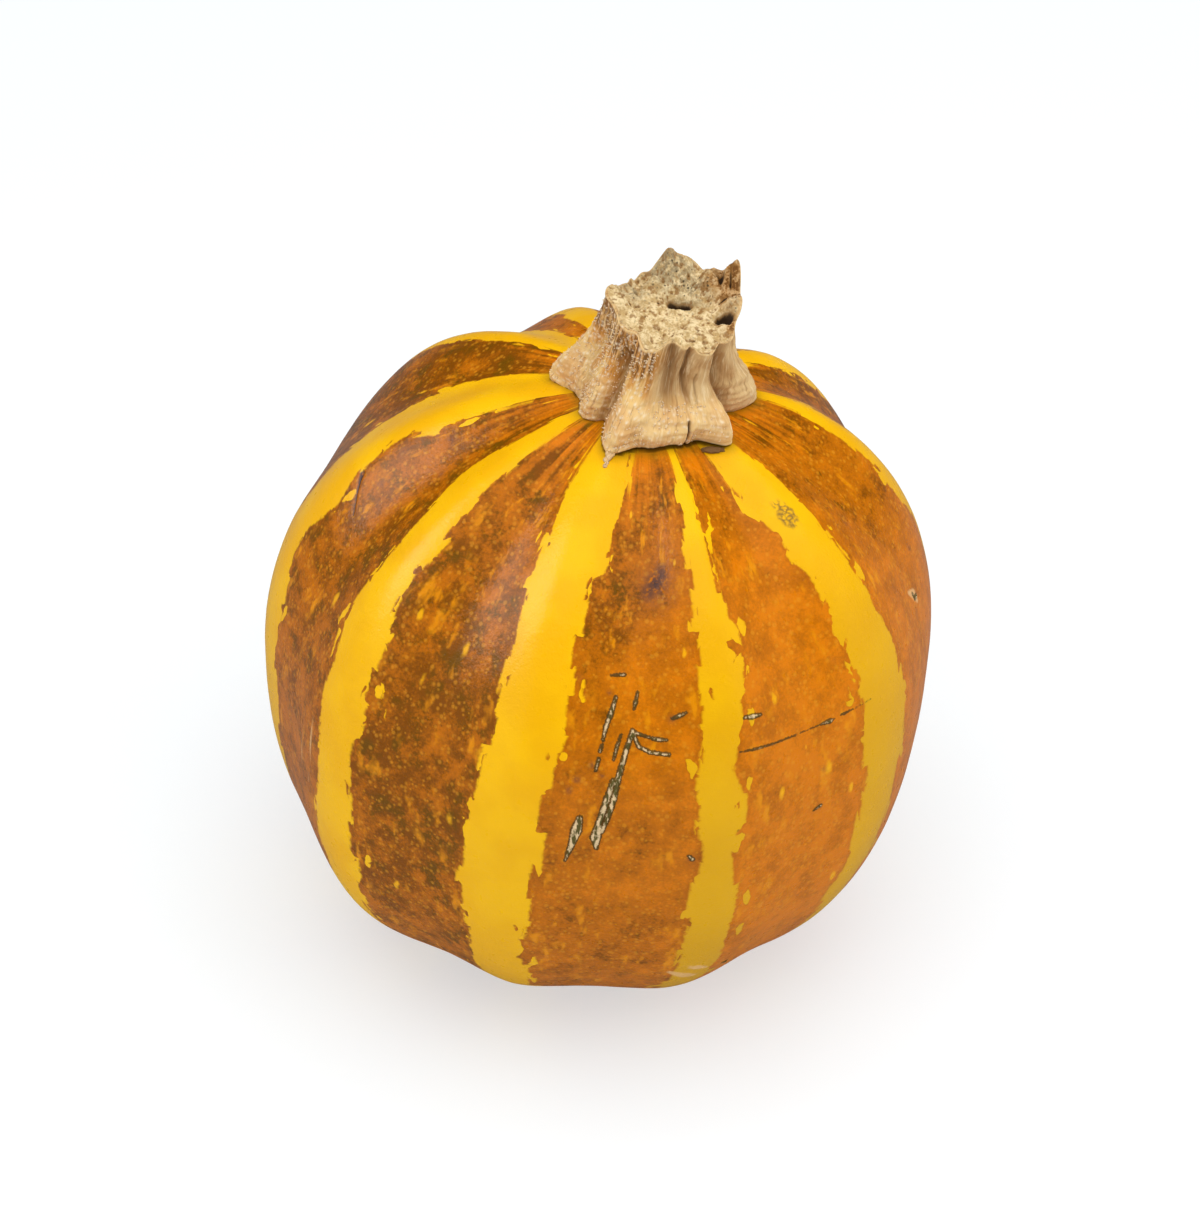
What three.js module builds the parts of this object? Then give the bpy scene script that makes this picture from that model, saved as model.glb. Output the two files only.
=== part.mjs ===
// A small striped pumpkin with its dried, broken-off stem, resting on a flattened spot.
// Millimetres, +Z up. The origin is the middle of the resting spot, below the fruit's core.

import * as THREE from 'three';

// Fruit, driving dimensions
const girthRadius = 62;        // core to skin at the widest level
const crownHeight = 58.3;      // widest level up to the crown
const footDepth = 60.8;        // widest level down to the foot
const footFlat = 0.7;          // height lost where the foot is flattened by its own weight
const crownPower = 0.95;       // below 1 squares the upper half a little, 1 is an ellipse
const footPower = 0.8;         // the lower half is squarer
const crownDimple = 1.9;       // sink of the crown round the stem
const crownDimpleRadius = 28;
const girthShift = 6.2;        // sideways shift of the core at the widest level
const crownShift = 9.9;        // sideways shift of the core at the crown
const ovalShare = 0.04;        // the girth is this much longer one way than round
const ovalTurn = 132;          // degrees, direction of the longer way

// Ribs of the fruit. Each crest has its angle in degrees and its swell, a share of the radius.
const crests = [
  { angle: 4, swell: -0.08 },
  { angle: 42.5, swell: -0.065 },
  { angle: 75, swell: 0.001 },
  { angle: 105.5, swell: 0.01 },
  { angle: 137.5, swell: 0.053 },
  { angle: 181, swell: 0.063 },
  { angle: 216, swell: 0.074 },
  { angle: 250.5, swell: 0.023 },
  { angle: 285, swell: -0.016 },
  { angle: 316.5, swell: -0.054 },
];
const ribDepth = 0.025;        // furrow depth at the girth, a share of the radius
const shoulderDepth = 0.044;   // added on the shoulder
const shoulderTilt = 0.5;      // radians from the axis where the shoulder furrows are deepest
const shoulderReach = 0.45;    // radians
const ribSharpness = 1.8;
const ribFade = 0.5;           // the ribs run out towards the crown and the foot

// Stem, driving dimensions
const skinGap = 0.35;          // clearance between the stem's underside and the skin
const stemFoot = new THREE.Vector2(10.9, -1.2);
const stemLean = new THREE.Vector2(3.8, -1.6);
const stemRise = 18.7;         // crown to the middle of the broken face
const footCore = 13.2;         // radius between the lobes at the foot
const neckCore = 9.2;          // radius between the ridges at the neck
const flareReach = 0.47;       // share of the rise over which the foot flares out
const flarePower = 2.2;        // above 1 the lobes end in a steep, rounded tip
const faceTilt = new THREE.Vector2(-0.13, 0.2);
const faceHollow = 1.4;        // sink of the broken face below its rim
const faceRoughness = 0.35;    // swell of the lumps on the broken face
const faceLumps = new THREE.Vector2(4.8, 5.7);
const tearStart = 0.55;        // share of the way out where a torn peak begins to rise
const tearFull = 0.88;

// Ridges of the stem: the angle of each at the foot and at the broken face in degrees, how far it
// spreads from the core at the foot and stands out at the neck, and its half width in degrees.
const ridges = [
  { foot: 3, face: -26, spread: 5.0, bulge: 1.9, width: 14 },
  { foot: 42, face: 7, spread: 3.6, bulge: 3.0, width: 17 },
  { foot: 84, face: 66, spread: 4.4, bulge: 1.7, width: 14 },
  { foot: 120, face: 122, spread: 3.4, bulge: 1.9, width: 13 },
  { foot: 157, face: 177, spread: 5.2, bulge: 1.9, width: 15 },
  { foot: 192, face: 217, spread: 1.6, bulge: 1.8, width: 11 },
  { foot: 247, face: 248, spread: 4.6, bulge: 2.3, width: 14 },
  { foot: 276, face: 277, spread: 2.6, bulge: 0.5, width: 11 },
  { foot: 307, face: 303, spread: 5.2, bulge: 1.7, width: 11 },
];

// Torn peaks and chips along the rim of the broken face: angle, rise and half width.
const rimTears = [
  { angle: 17, rise: 7.4, width: 13 },
  { angle: 52, rise: 1.8, width: 17 },
  { angle: 91, rise: 3.2, width: 12 },
  { angle: 124, rise: -1.9, width: 14 },
  { angle: 160, rise: 0.7, width: 9 },
  { angle: 232, rise: 0.6, width: 10 },
  { angle: 292, rise: -0.6, width: 8 },
  { angle: 330, rise: -0.9, width: 9 },
];

// Pits in the broken face: place from its middle, radius and depth.
const facePits = [
  { x: 1.0, y: 1.4, radius: 2.0, depth: 1.6 },
  { x: 7.8, y: -2.0, radius: 1.5, depth: 1.6 },
  { x: -4.6, y: 3.0, radius: 2.0, depth: 0.8 },
  { x: 0.2, y: -6.0, radius: 1.5, depth: 0.8 },
];

// Fineness of the meshes
const columnsPerRib = 8;
const fruitRows = 34;
const stemColumns = 80;
const undersideRows = 4;
const sideRows = 12;
const sideSpacing = 1.3;       // above 1 the rows lie closer near the foot
const faceRows = 8;
const aimSteps = 5;            // corrections when a height on the skin is looked up

const radians = THREE.MathUtils.degToRad;

// Degrees from one direction to another, between -180 and 180.
function turnBetween(from, to) {
  return THREE.MathUtils.euclideanModulo(to - from + 180, 360) - 180;
}

// The bell that every local swelling, ridge and pit is made of.
function bell(distance, width) {
  return Math.exp(-((distance / width) ** 2));
}

// How deep in a furrow a direction is, 0 on a crest and 1 in the furrow, and the local swell.
function ribAt(angle) {
  for (let i = 0; i < crests.length; i += 1) {
    const here = crests[i];
    const next = crests[(i + 1) % crests.length];
    const span = THREE.MathUtils.euclideanModulo(next.angle - here.angle, 360);
    const share = THREE.MathUtils.euclideanModulo(angle - here.angle, 360) / span;
    if (share < 1) {
      const nearHere = 0.5 + 0.5 * Math.cos(Math.PI * share);
      const furrow = Math.sin(Math.PI * share) ** ribSharpness;
      return { furrow, swell: here.swell * nearHere + next.swell * (1 - nearHere) };
    }
  }
  return { furrow: 0, swell: 0 };
}

// The skin, by the tilt from the axis in radians and the direction in degrees.
function skinPoint(tilt, angle) {
  const across = Math.max(Math.sin(tilt), 0);
  const along = Math.cos(tilt);
  const upper = along > 0;
  const power = upper ? crownPower : footPower;
  const { furrow, swell } = ribAt(angle);
  const fade = 1 - bell(across, ribFade);
  const shoulder = Math.exp(-(((tilt - shoulderTilt) / shoulderReach) ** 2) / 2);
  const depth = (ribDepth + shoulderDepth * shoulder) * fade;
  const oval = ovalShare * Math.cos(2 * radians(angle - ovalTurn));
  const scale = (1 - depth * furrow) * (1 + (swell + oval) * across * fade);
  const radius = girthRadius * across ** power;
  const half = upper ? crownHeight : footDepth;
  const level = half * Math.sign(along) * Math.abs(along) ** power * scale;
  const dimple = upper ? crownDimple * bell(radius, crownDimpleRadius) : 0;
  const shift = girthShift * across ** 2 + (crownShift * (along + along ** 2)) / 2;
  const floor = footFlat - footDepth;
  return new THREE.Vector3(
    radius * scale * Math.cos(radians(angle)) + shift,
    radius * scale * Math.sin(radians(angle)),
    Math.max(level - dimple, floor) - floor,
  );
}

// The skin's height at a place near the crown: the aim is corrected until it lands on the place.
function crownLevel(x, y) {
  let aimX = x - crownShift;
  let aimY = y;
  let point = skinPoint(0, 0);
  for (let step = 0; step < aimSteps; step += 1) {
    const across = (Math.hypot(aimX, aimY) / girthRadius) ** (1 / crownPower);
    point = skinPoint(Math.asin(across), THREE.MathUtils.radToDeg(Math.atan2(aimY, aimX)));
    aimX += x - point.x;
    aimY += y - point.y;
  }
  return point.z;
}

// A closed mesh from two poles and the rows of points between them, from the lowest to the top.
function closedSkin(footPole, rows, topPole) {
  const columns = rows[0].length;
  const points = [footPole, ...rows.flat(), topPole];
  const top = points.length - 1;
  const at = (row, column) => 1 + row * columns + (column % columns);
  const faces = [];
  for (let c = 0; c < columns; c += 1) {
    faces.push(0, at(0, c + 1), at(0, c));
    for (let r = 0; r < rows.length - 1; r += 1) {
      faces.push(at(r, c), at(r, c + 1), at(r + 1, c + 1));
      faces.push(at(r, c), at(r + 1, c + 1), at(r + 1, c));
    }
    faces.push(top, at(rows.length - 1, c), at(rows.length - 1, c + 1));
  }
  const geometry = new THREE.BufferGeometry().setFromPoints(points);
  geometry.setIndex(faces);
  geometry.computeVertexNormals();
  return geometry;
}

// The fruit: columns follow the ribs, so every crest and every furrow has its own.
function fruitGeometry() {
  const angles = [];
  crests.forEach((crest, i) => {
    const next = crests[(i + 1) % crests.length];
    const span = THREE.MathUtils.euclideanModulo(next.angle - crest.angle, 360);
    for (let step = 0; step < columnsPerRib; step += 1) {
      angles.push(crest.angle + (span * step) / columnsPerRib);
    }
  });
  const rows = [];
  for (let row = 1; row < fruitRows; row += 1) {
    const tilt = Math.PI * (1 - row / fruitRows);
    rows.push(angles.map((angle) => skinPoint(tilt, angle)));
  }
  return closedSkin(skinPoint(Math.PI, 0), rows, skinPoint(0, 0));
}

// Distance from the stem's own axis to its side, by direction and by the share of the rise.
function stemRadius(angle, share) {
  const flare = Math.exp(-((share / flareReach) ** flarePower));
  let radius = neckCore + (footCore - neckCore) * flare;
  ridges.forEach((ridge) => {
    const middle = ridge.foot + turnBetween(ridge.foot, ridge.face) * share;
    const stands = ridge.bulge + (ridge.spread - ridge.bulge) * flare;
    radius += stands * bell(turnBetween(middle, angle), ridge.width);
  });
  return radius;
}

// Height of the broken face above the crown, by direction and by the share of the way out from its
// middle: tilted, hollow, rough, torn up into peaks along the rim, and pitted.
function faceLevel(angle, share) {
  const reach = stemRadius(angle, 1) * share;
  const x = reach * Math.cos(radians(angle));
  const y = reach * Math.sin(radians(angle));
  const torn = THREE.MathUtils.smoothstep(share, tearStart, tearFull);
  let level = stemRise + faceTilt.x * x + faceTilt.y * y - faceHollow * (1 - share ** 2);
  const lumpX = Math.sin((2 * Math.PI * x) / faceLumps.x);
  const lumpY = Math.cos((2 * Math.PI * y) / faceLumps.y);
  level += faceRoughness * lumpX * lumpY;
  rimTears.forEach((tear) => {
    level += tear.rise * bell(turnBetween(tear.angle, angle), tear.width) * torn;
  });
  facePits.forEach((pit) => {
    level -= pit.depth * bell(Math.hypot(x - pit.x, y - pit.y), pit.radius);
  });
  return level;
}

// A point of the stem by its direction, the share of the rise and the distance from its axis.
function stemPoint(angle, share, radius, level) {
  return new THREE.Vector3(
    stemFoot.x + stemLean.x * share + radius * Math.cos(radians(angle)),
    stemFoot.y + stemLean.y * share + radius * Math.sin(radians(angle)),
    level,
  );
}

// A point of the stem's underside, just clear of the skin.
function undersidePoint(angle, share) {
  const point = stemPoint(angle, 0, stemRadius(angle, 0) * share, 0);
  point.z = crownLevel(point.x, point.y) + skinGap;
  return point;
}

// The stem: its underside follows the skin, its side rises from the lobed foot to the torn rim.
function stemGeometry() {
  const crown = skinPoint(0, 0).z;
  const angles = Array.from({ length: stemColumns }, (_, i) => (360 * i) / stemColumns);
  const rows = [];
  for (let row = 1; row <= undersideRows; row += 1) {
    rows.push(angles.map((angle) => undersidePoint(angle, row / undersideRows)));
  }
  for (let row = 1; row <= sideRows; row += 1) {
    const share = (row / sideRows) ** sideSpacing;
    rows.push(angles.map((angle) => {
      const low = undersidePoint(angle, 1).z;
      const high = crown + faceLevel(angle, 1);
      return stemPoint(angle, share, stemRadius(angle, share), low + (high - low) * share);
    }));
  }
  for (let row = faceRows - 1; row >= 1; row -= 1) {
    const share = row / faceRows;
    rows.push(angles.map((angle) => {
      const level = crown + faceLevel(angle, share);
      return stemPoint(angle, 1, stemRadius(angle, 1) * share, level);
    }));
  }
  return closedSkin(undersidePoint(0, 0), rows, stemPoint(0, 1, 0, crown + faceLevel(0, 0)));
}

// The fruit's skin, orange between the dark and yellow stripes.
const skin = new THREE.MeshStandardMaterial({ color: 0xc9802a, roughness: 0.45, metalness: 0 });
const fruit = new THREE.Mesh(fruitGeometry(), skin);
fruit.name = 'fruit';

// The dried stem, tan and fibrous.
const husk = new THREE.MeshStandardMaterial({ color: 0xc8a06a, roughness: 0.85, metalness: 0 });
const stem = new THREE.Mesh(stemGeometry(), husk);
stem.name = 'stem';

const pumpkin = new THREE.Group();
pumpkin.name = 'pumpkin';
pumpkin.add(fruit, stem);

export default pumpkin;
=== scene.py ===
import bmesh
import bpy
import math
import random
from mathutils import Matrix, Vector, noise


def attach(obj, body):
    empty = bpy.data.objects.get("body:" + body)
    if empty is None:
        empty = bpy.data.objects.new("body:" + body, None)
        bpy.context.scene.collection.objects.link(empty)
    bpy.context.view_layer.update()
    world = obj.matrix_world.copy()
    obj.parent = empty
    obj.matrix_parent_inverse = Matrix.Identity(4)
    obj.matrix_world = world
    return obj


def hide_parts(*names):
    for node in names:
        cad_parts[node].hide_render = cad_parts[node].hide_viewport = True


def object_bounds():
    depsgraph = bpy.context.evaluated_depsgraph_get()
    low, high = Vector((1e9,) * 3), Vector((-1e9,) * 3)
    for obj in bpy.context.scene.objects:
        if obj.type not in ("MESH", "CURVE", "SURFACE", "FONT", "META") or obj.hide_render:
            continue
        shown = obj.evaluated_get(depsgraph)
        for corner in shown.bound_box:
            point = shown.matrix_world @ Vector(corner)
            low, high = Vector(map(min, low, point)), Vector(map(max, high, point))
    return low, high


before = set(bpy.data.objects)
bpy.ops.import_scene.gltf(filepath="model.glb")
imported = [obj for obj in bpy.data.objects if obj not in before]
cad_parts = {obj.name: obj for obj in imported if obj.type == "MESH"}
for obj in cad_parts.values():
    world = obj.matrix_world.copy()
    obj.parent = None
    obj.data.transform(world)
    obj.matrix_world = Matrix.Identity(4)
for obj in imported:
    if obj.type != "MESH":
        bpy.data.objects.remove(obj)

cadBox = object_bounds()
scene = bpy.context.scene
millimetre = 0.001
print("frame loaded")


# small helpers for shapes
def bell(distance, width):
    return math.exp(-(distance / width) ** 2)


def clamp(value, low=0.0, high=1.0):
    return max(low, min(high, value))


def smoothStep(value, low, high):
    share = clamp((value - low) / (high - low))
    return share * share * (3 - 2 * share)


def turnBetween(start, end):  # degrees, from -180 to 180
    return (end - start + 180) % 360 - 180


def alongKnots(knots, at):  # the values after the first number of each knot, at a place between knots
    if at <= knots[0][0]:
        return knots[0][1:]
    for low, high in zip(knots, knots[1:]):
        if at <= high[0]:
            share = smoothStep(at, low[0], high[0])
            return [a + (b - a) * share for a, b in zip(low[1:], high[1:])]
    return knots[-1][1:]


def onCircle(radius, angle):
    return Vector((radius * math.cos(math.radians(angle)), radius * math.sin(math.radians(angle)), 0))


# camera and studio
studio = {
    "aim": (0, 0, 0.0601),
    "elevation": 40,
    "distance": 0.6076,
    "lens": 97.15,
    "shift": (0.0118, 0.0221),
    "white": (1, 1, 1, 1),
    "floorSize": 40.0,
    "floorRoughness": 0.9,
    "floorColor": (0.86, 0.92, 0.98, 1),
    "floorSeen": (0.455, 0.49, 0.51, 1),  # the camera sees a darker floor that glows, as on a lit table
    "floorGlow": 0.53,
    "floorShine": 0.27,  # how much of the floor the glossy skin mirrors
    "worldStrength": 0.38,
    "worldShine": 0.02,  # and how much of the surround
    "lamps": [  # name, place, size, power, and whether it lights the skin or only shines on it
        ("overheadSoftbox", (0.04, -0.12, 1.0), 1.2, 9.4, True),
        ("rightScreen", (0.85, -0.20, 0.34), 0.7, 2.3, True),
        ("leftScreen", (-0.80, -0.50, 0.25), 0.7, 2.4, True),
        ("sheenScreen", (-0.80, -0.02, 0.66), 0.6, 7.0, False),
    ],
}


def makeCamera():
    tilt = math.radians(studio["elevation"])
    back = Vector((0, -math.cos(tilt), math.sin(tilt)))
    camera = bpy.data.objects.new("camera", bpy.data.cameras.new("camera"))
    camera.location = Vector(studio["aim"]) + back * studio["distance"]
    camera.rotation_euler = (math.pi / 2 - tilt, 0, 0)
    camera.data.lens = studio["lens"]
    camera.data.shift_x, camera.data.shift_y = studio["shift"]
    scene.collection.objects.link(camera)
    scene.camera = camera


def makeLight(name, place, size, power, lightsUp):
    light = bpy.data.lights.new(name, "AREA")
    light.size = size
    light.energy = power
    lamp = bpy.data.objects.new(name, light)
    lamp.location = place
    lamp.rotation_euler = (Vector(studio["aim"]) - Vector(place)).to_track_quat("-Z", "Y").to_euler()
    lamp.visible_camera = False
    lamp.visible_diffuse = lightsUp
    lamp.visible_glossy = not lightsUp
    scene.collection.objects.link(lamp)


def makeFloor():
    bm = bmesh.new()
    bmesh.ops.create_grid(bm, x_segments=1, y_segments=1, size=studio["floorSize"] / 2)
    mesh = bpy.data.meshes.new("floor")
    bm.to_mesh(mesh)
    bm.free()
    floor = bpy.data.objects.new("floor", mesh)
    scene.collection.objects.link(floor)
    paper, tree, surface = newMaterial("whitePaper")
    surface.inputs["Roughness"].default_value = studio["floorRoughness"]
    surface.inputs["Emission Color"].default_value = studio["white"]
    rays = tree.nodes.new("ShaderNodeLightPath").outputs
    glow = calc(tree, "MULTIPLY", rays["Is Camera Ray"], studio["floorGlow"])
    tree.links.new(glow, surface.inputs["Emission Strength"])
    mirrored = [value * studio["floorShine"] for value in studio["floorColor"]]
    shown = mixPaint(tree, rays["Is Glossy Ray"], studio["floorColor"], mirrored)
    shown = mixPaint(tree, rays["Is Camera Ray"], shown, studio["floorSeen"])
    tree.links.new(shown, surface.inputs["Base Color"])
    mesh.materials.append(paper)


def makeSurround():
    scene.world = bpy.data.worlds.new("softWhite")
    scene.world.use_nodes = True
    tree = scene.world.node_tree
    surround = tree.nodes["Background"]
    surround.inputs["Color"].default_value = studio["white"]
    rays = tree.nodes.new("ShaderNodeLightPath").outputs
    dimming = calc(tree, "MULTIPLY", rays["Is Glossy Ray"], 1 - studio["worldShine"])
    strength = calc(tree, "MULTIPLY", calc(tree, "SUBTRACT", 1, dimming), studio["worldStrength"])
    # past the floor's edge the camera sees plain white
    seen = calc(tree, "MULTIPLY", rays["Is Camera Ray"], 1 - studio["worldStrength"])
    tree.links.new(calc(tree, "ADD", strength, seen), surround.inputs["Strength"])


def makeStudio():
    makeFloor()
    makeSurround()
    scene.view_settings.view_transform = "Standard"
    for lamp in studio["lamps"]:
        makeLight(*lamp)


# helpers for materials
def paint(display):  # a display colour from 0 to 255, as the shader wants it
    linear = []
    for part in display:
        share = part / 255
        linear.append(share / 12.92 if part <= 10 else ((share + 0.055) / 1.055) ** 2.4)
    return (*linear, 1)


def feed(tree, socket, value):  # a socket takes a number, a colour or another node's output
    if isinstance(value, bpy.types.NodeSocket):
        tree.links.new(value, socket)
    else:
        socket.default_value = value


def calc(tree, operation, first, second=0.5, clampIt=False):
    node = tree.nodes.new("ShaderNodeMath")
    node.operation = operation
    node.use_clamp = clampIt
    feed(tree, node.inputs[0], first)
    feed(tree, node.inputs[1], second)
    return node.outputs[0]


def ramp(tree, value, low, high, start=0.0, end=1.0):
    node = tree.nodes.new("ShaderNodeMapRange")
    node.interpolation_type = "SMOOTHSTEP"
    for name, setting in (("Value", value), ("From Min", low), ("From Max", high)):
        feed(tree, node.inputs[name], setting)
    feed(tree, node.inputs["To Min"], start)
    feed(tree, node.inputs["To Max"], end)
    return node.outputs["Result"]


def mixPaint(tree, share, first, second):  # the mix node keeps its colours in sockets 6, 7 and 2
    node = tree.nodes.new("ShaderNodeMix")
    node.data_type = "RGBA"
    feed(tree, node.inputs["Factor"], share)
    feed(tree, node.inputs[6], first)
    feed(tree, node.inputs[7], second)
    return node.outputs[2]


def mixValue(tree, share, first, second):  # and its numbers in sockets 2, 3 and 0
    node = tree.nodes.new("ShaderNodeMix")
    feed(tree, node.inputs[0], share)
    feed(tree, node.inputs[2], first)
    feed(tree, node.inputs[3], second)
    return node.outputs[0]


def layOn(tree, color, mask, strength, over):  # a colour laid over another one through a mask
    return mixPaint(tree, calc(tree, "MULTIPLY", mask, strength), color, over)


def weigh(tree, total, parts):  # adds patterns to a value, each less its middle and times its weight
    for value, middle, weight in parts:
        part = calc(tree, "MULTIPLY", calc(tree, "SUBTRACT", value, middle), weight)
        total = calc(tree, "ADD", total, part)
    return total


def readPoint(tree, name, output="Fac"):
    node = tree.nodes.new("ShaderNodeAttribute")
    node.attribute_name = name
    return node.outputs[output]


def stretch(tree, vector, scale):
    node = tree.nodes.new("ShaderNodeMapping")
    feed(tree, node.inputs["Vector"], vector)
    node.inputs["Scale"].default_value = scale
    return node.outputs["Vector"]


def inMillimetres(tree):  # places on the object, for patterns that run all through it
    return stretch(tree, tree.nodes.new("ShaderNodeTexCoord").outputs["Object"], (1 / millimetre,) * 3)


def warp(tree, vector, scale, amount):  # pushes a pattern about, so that its shapes are uneven
    node = tree.nodes.new("ShaderNodeTexNoise")
    tree.links.new(vector, node.inputs["Vector"])
    node.inputs["Scale"].default_value = scale
    centred = tree.nodes.new("ShaderNodeVectorMath")
    centred.operation = "SUBTRACT"
    centred.inputs[1].default_value = (0.5, 0.5, 0.5)
    tree.links.new(node.outputs["Color"], centred.inputs[0])
    moved = tree.nodes.new("ShaderNodeVectorMath")
    moved.operation = "MULTIPLY_ADD"
    moved.inputs[1].default_value = (amount, amount, amount)
    tree.links.new(centred.outputs["Vector"], moved.inputs[0])
    tree.links.new(vector, moved.inputs[2])
    return moved.outputs["Vector"]


def cloud(tree, vector, scale, detail, roughness=0.5):
    node = tree.nodes.new("ShaderNodeTexNoise")
    feed(tree, node.inputs["Vector"], vector)
    feed(tree, node.inputs["Scale"], scale)
    node.inputs["Detail"].default_value = detail
    node.inputs["Roughness"].default_value = roughness
    return node.outputs["Fac"]


def cells(tree, vector, scale, distance="EUCLIDEAN", randomness=1.0):
    node = tree.nodes.new("ShaderNodeTexVoronoi")
    node.distance = distance
    feed(tree, node.inputs["Vector"], vector)
    feed(tree, node.inputs["Scale"], scale)
    node.inputs["Randomness"].default_value = randomness
    split = tree.nodes.new("ShaderNodeSeparateColor")
    tree.links.new(node.outputs["Color"], split.inputs["Color"])
    return node.outputs["Distance"], split.outputs["Red"], split.outputs["Green"]


def newGroup(name, inputs, outputs):
    group = bpy.data.node_groups.new(name, "ShaderNodeTree")
    for title, kind in inputs:
        group.interface.new_socket(name=title, in_out="INPUT", socket_type=kind)
    for title, kind in outputs:
        group.interface.new_socket(name=title, in_out="OUTPUT", socket_type=kind)
    return group, group.nodes.new("NodeGroupInput").outputs, group.nodes.new("NodeGroupOutput").inputs


def useGroup(tree, group, **settings):
    node = tree.nodes.new("ShaderNodeGroup")
    node.node_tree = group
    for name, value in settings.items():
        feed(tree, node.inputs[name], value)
    return node.outputs


def newMaterial(name):
    material = bpy.data.materials.new(name)
    material.use_nodes = True
    return material, material.node_tree, material.node_tree.nodes["Principled BSDF"]


def bumpInto(tree, surface, height, strength, distance):
    node = tree.nodes.new("ShaderNodeBump")
    node.inputs["Strength"].default_value = strength
    node.inputs["Distance"].default_value = distance
    tree.links.new(height, node.inputs["Height"])
    tree.links.new(node.outputs["Normal"], surface.inputs["Normal"])


# soft dots scattered over a surface, some of them missing, 1 at a dot's middle
dotSizes = (0.6, 1.25)  # the smallest and the largest, to the size asked for
dotCore = 0.7  # the share of a dot's slope where it is full


def makeDotsGroup():
    sockets = [("Vector", "NodeSocketVector"), ("Scale", "NodeSocketFloat")]
    sockets += [("Size", "NodeSocketFloat"), ("Share", "NodeSocketFloat")]
    group, given, result = newGroup("softDots", sockets, [("Mask", "NodeSocketFloat")])
    distance, chance, size = cells(group, given["Vector"], given["Scale"])
    reach = calc(group, "MULTIPLY", given["Size"], ramp(group, size, 0, 1, *dotSizes))
    dot = calc(group, "SUBTRACT", 1, calc(group, "DIVIDE", distance, reach), clampIt=True)
    kept = calc(group, "LESS_THAN", chance, given["Share"])
    group.links.new(calc(group, "MULTIPLY", ramp(group, dot, 0, dotCore), kept), result["Mask"])
    return group


# uneven fine grain, for colour and for relief
coarseShare = 0.6


def makeGrainGroup():
    sockets = [("Vector", "NodeSocketVector"), ("Coarse", "NodeSocketFloat"), ("Fine", "NodeSocketFloat")]
    group, given, result = newGroup("unevenGrain", sockets, [("Value", "NodeSocketFloat")])
    coarse = cloud(group, given["Vector"], given["Coarse"], 3.0)
    fine = cloud(group, given["Vector"], given["Fine"], 2.0)
    coarse = calc(group, "MULTIPLY", coarse, coarseShare)
    fine = calc(group, "MULTIPLY", fine, 1 - coarseShare)
    group.links.new(calc(group, "ADD", coarse, fine), result["Value"])
    return group


makeCamera()
makeStudio()
print("camera and studio made")
softDots = makeDotsGroup()
unevenGrain = makeGrainGroup()


def finishPiece(bm, name, material, slot, *replaced):
    for vert in bm.verts:
        vert.co *= millimetre
    bmesh.ops.recalc_face_normals(bm, faces=bm.faces)
    for face in bm.faces:
        face.smooth = True
    mesh = bpy.data.meshes.new(name)
    bm.to_mesh(mesh)
    bm.free()
    mesh.materials.append(material)
    piece = bpy.data.objects.new(name, mesh)
    scene.collection.objects.link(piece)
    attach(piece, "root")
    if replaced:
        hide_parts(*replaced)
    return piece


# the fruit
fruit = {
    "girthRadius": 62.0,
    "crownHeight": 58.3,
    "footDepth": 60.8,
    "footFlat": 0.7,
    "crownPower": 0.95,
    "footPower": 0.8,
    "crownDimple": 1.9,
    "crownDimpleRadius": 28.0,
    "girthShift": 6.2,
    "crownShift": 9.9,
    "ovalShare": 0.04,
    "ovalTurn": 132,
    "ribDepth": 0.025,
    "shoulderDepth": 0.044,
    "shoulderTilt": 0.5,
    "shoulderReach": 0.45,
    "ribSharpness": 1.8,
    "ribFade": 0.5,
    "columns": 300,
    "rows": 160,
    "patternRadius": 60.0,  # millimetres of pattern to a radian, round the core and along it
    "unevenness": 0.12,
    "waveScale": 0.07,
    "waveOctaves": 3,
    "calmCrown": (10, 25),  # tilts between which the unevenness sets in, and fades out again
    "calmFoot": (170, 150),
    "shadeBlend": (0.15, 0.85),  # share of the way between two crests where the skin's darkness changes
    "strokeMargin": 1.5,
    "farFromStroke": -1.0,
    "stainCutoff": 4,  # past this many times its size a stain is nothing
    "corkRise": 0.4,
    "corkEdge": (-0.1, 0.35),
    "corkLumps": (0.7, 0.6, 1.3),  # the least height, what lumps add to it, and their scale
    "scratchEdge": (-0.16, 0.1),
    "scratchDepth": 0.15,
    "footTilt": 150,
    "footScar": 5.2,
    "footScarEdge": 1.5,
    "footScarDepth": 1.0,
    "footScarLumps": (0.3, 0.8),  # how much and at what scale, and the same for its outline
    "footScarRagged": 0.5,
    "navelRise": 0.5,
    "navelReach": 1.6,
    "stemShadow": 1.6,
    "shadowTilt": 60,
}

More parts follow.
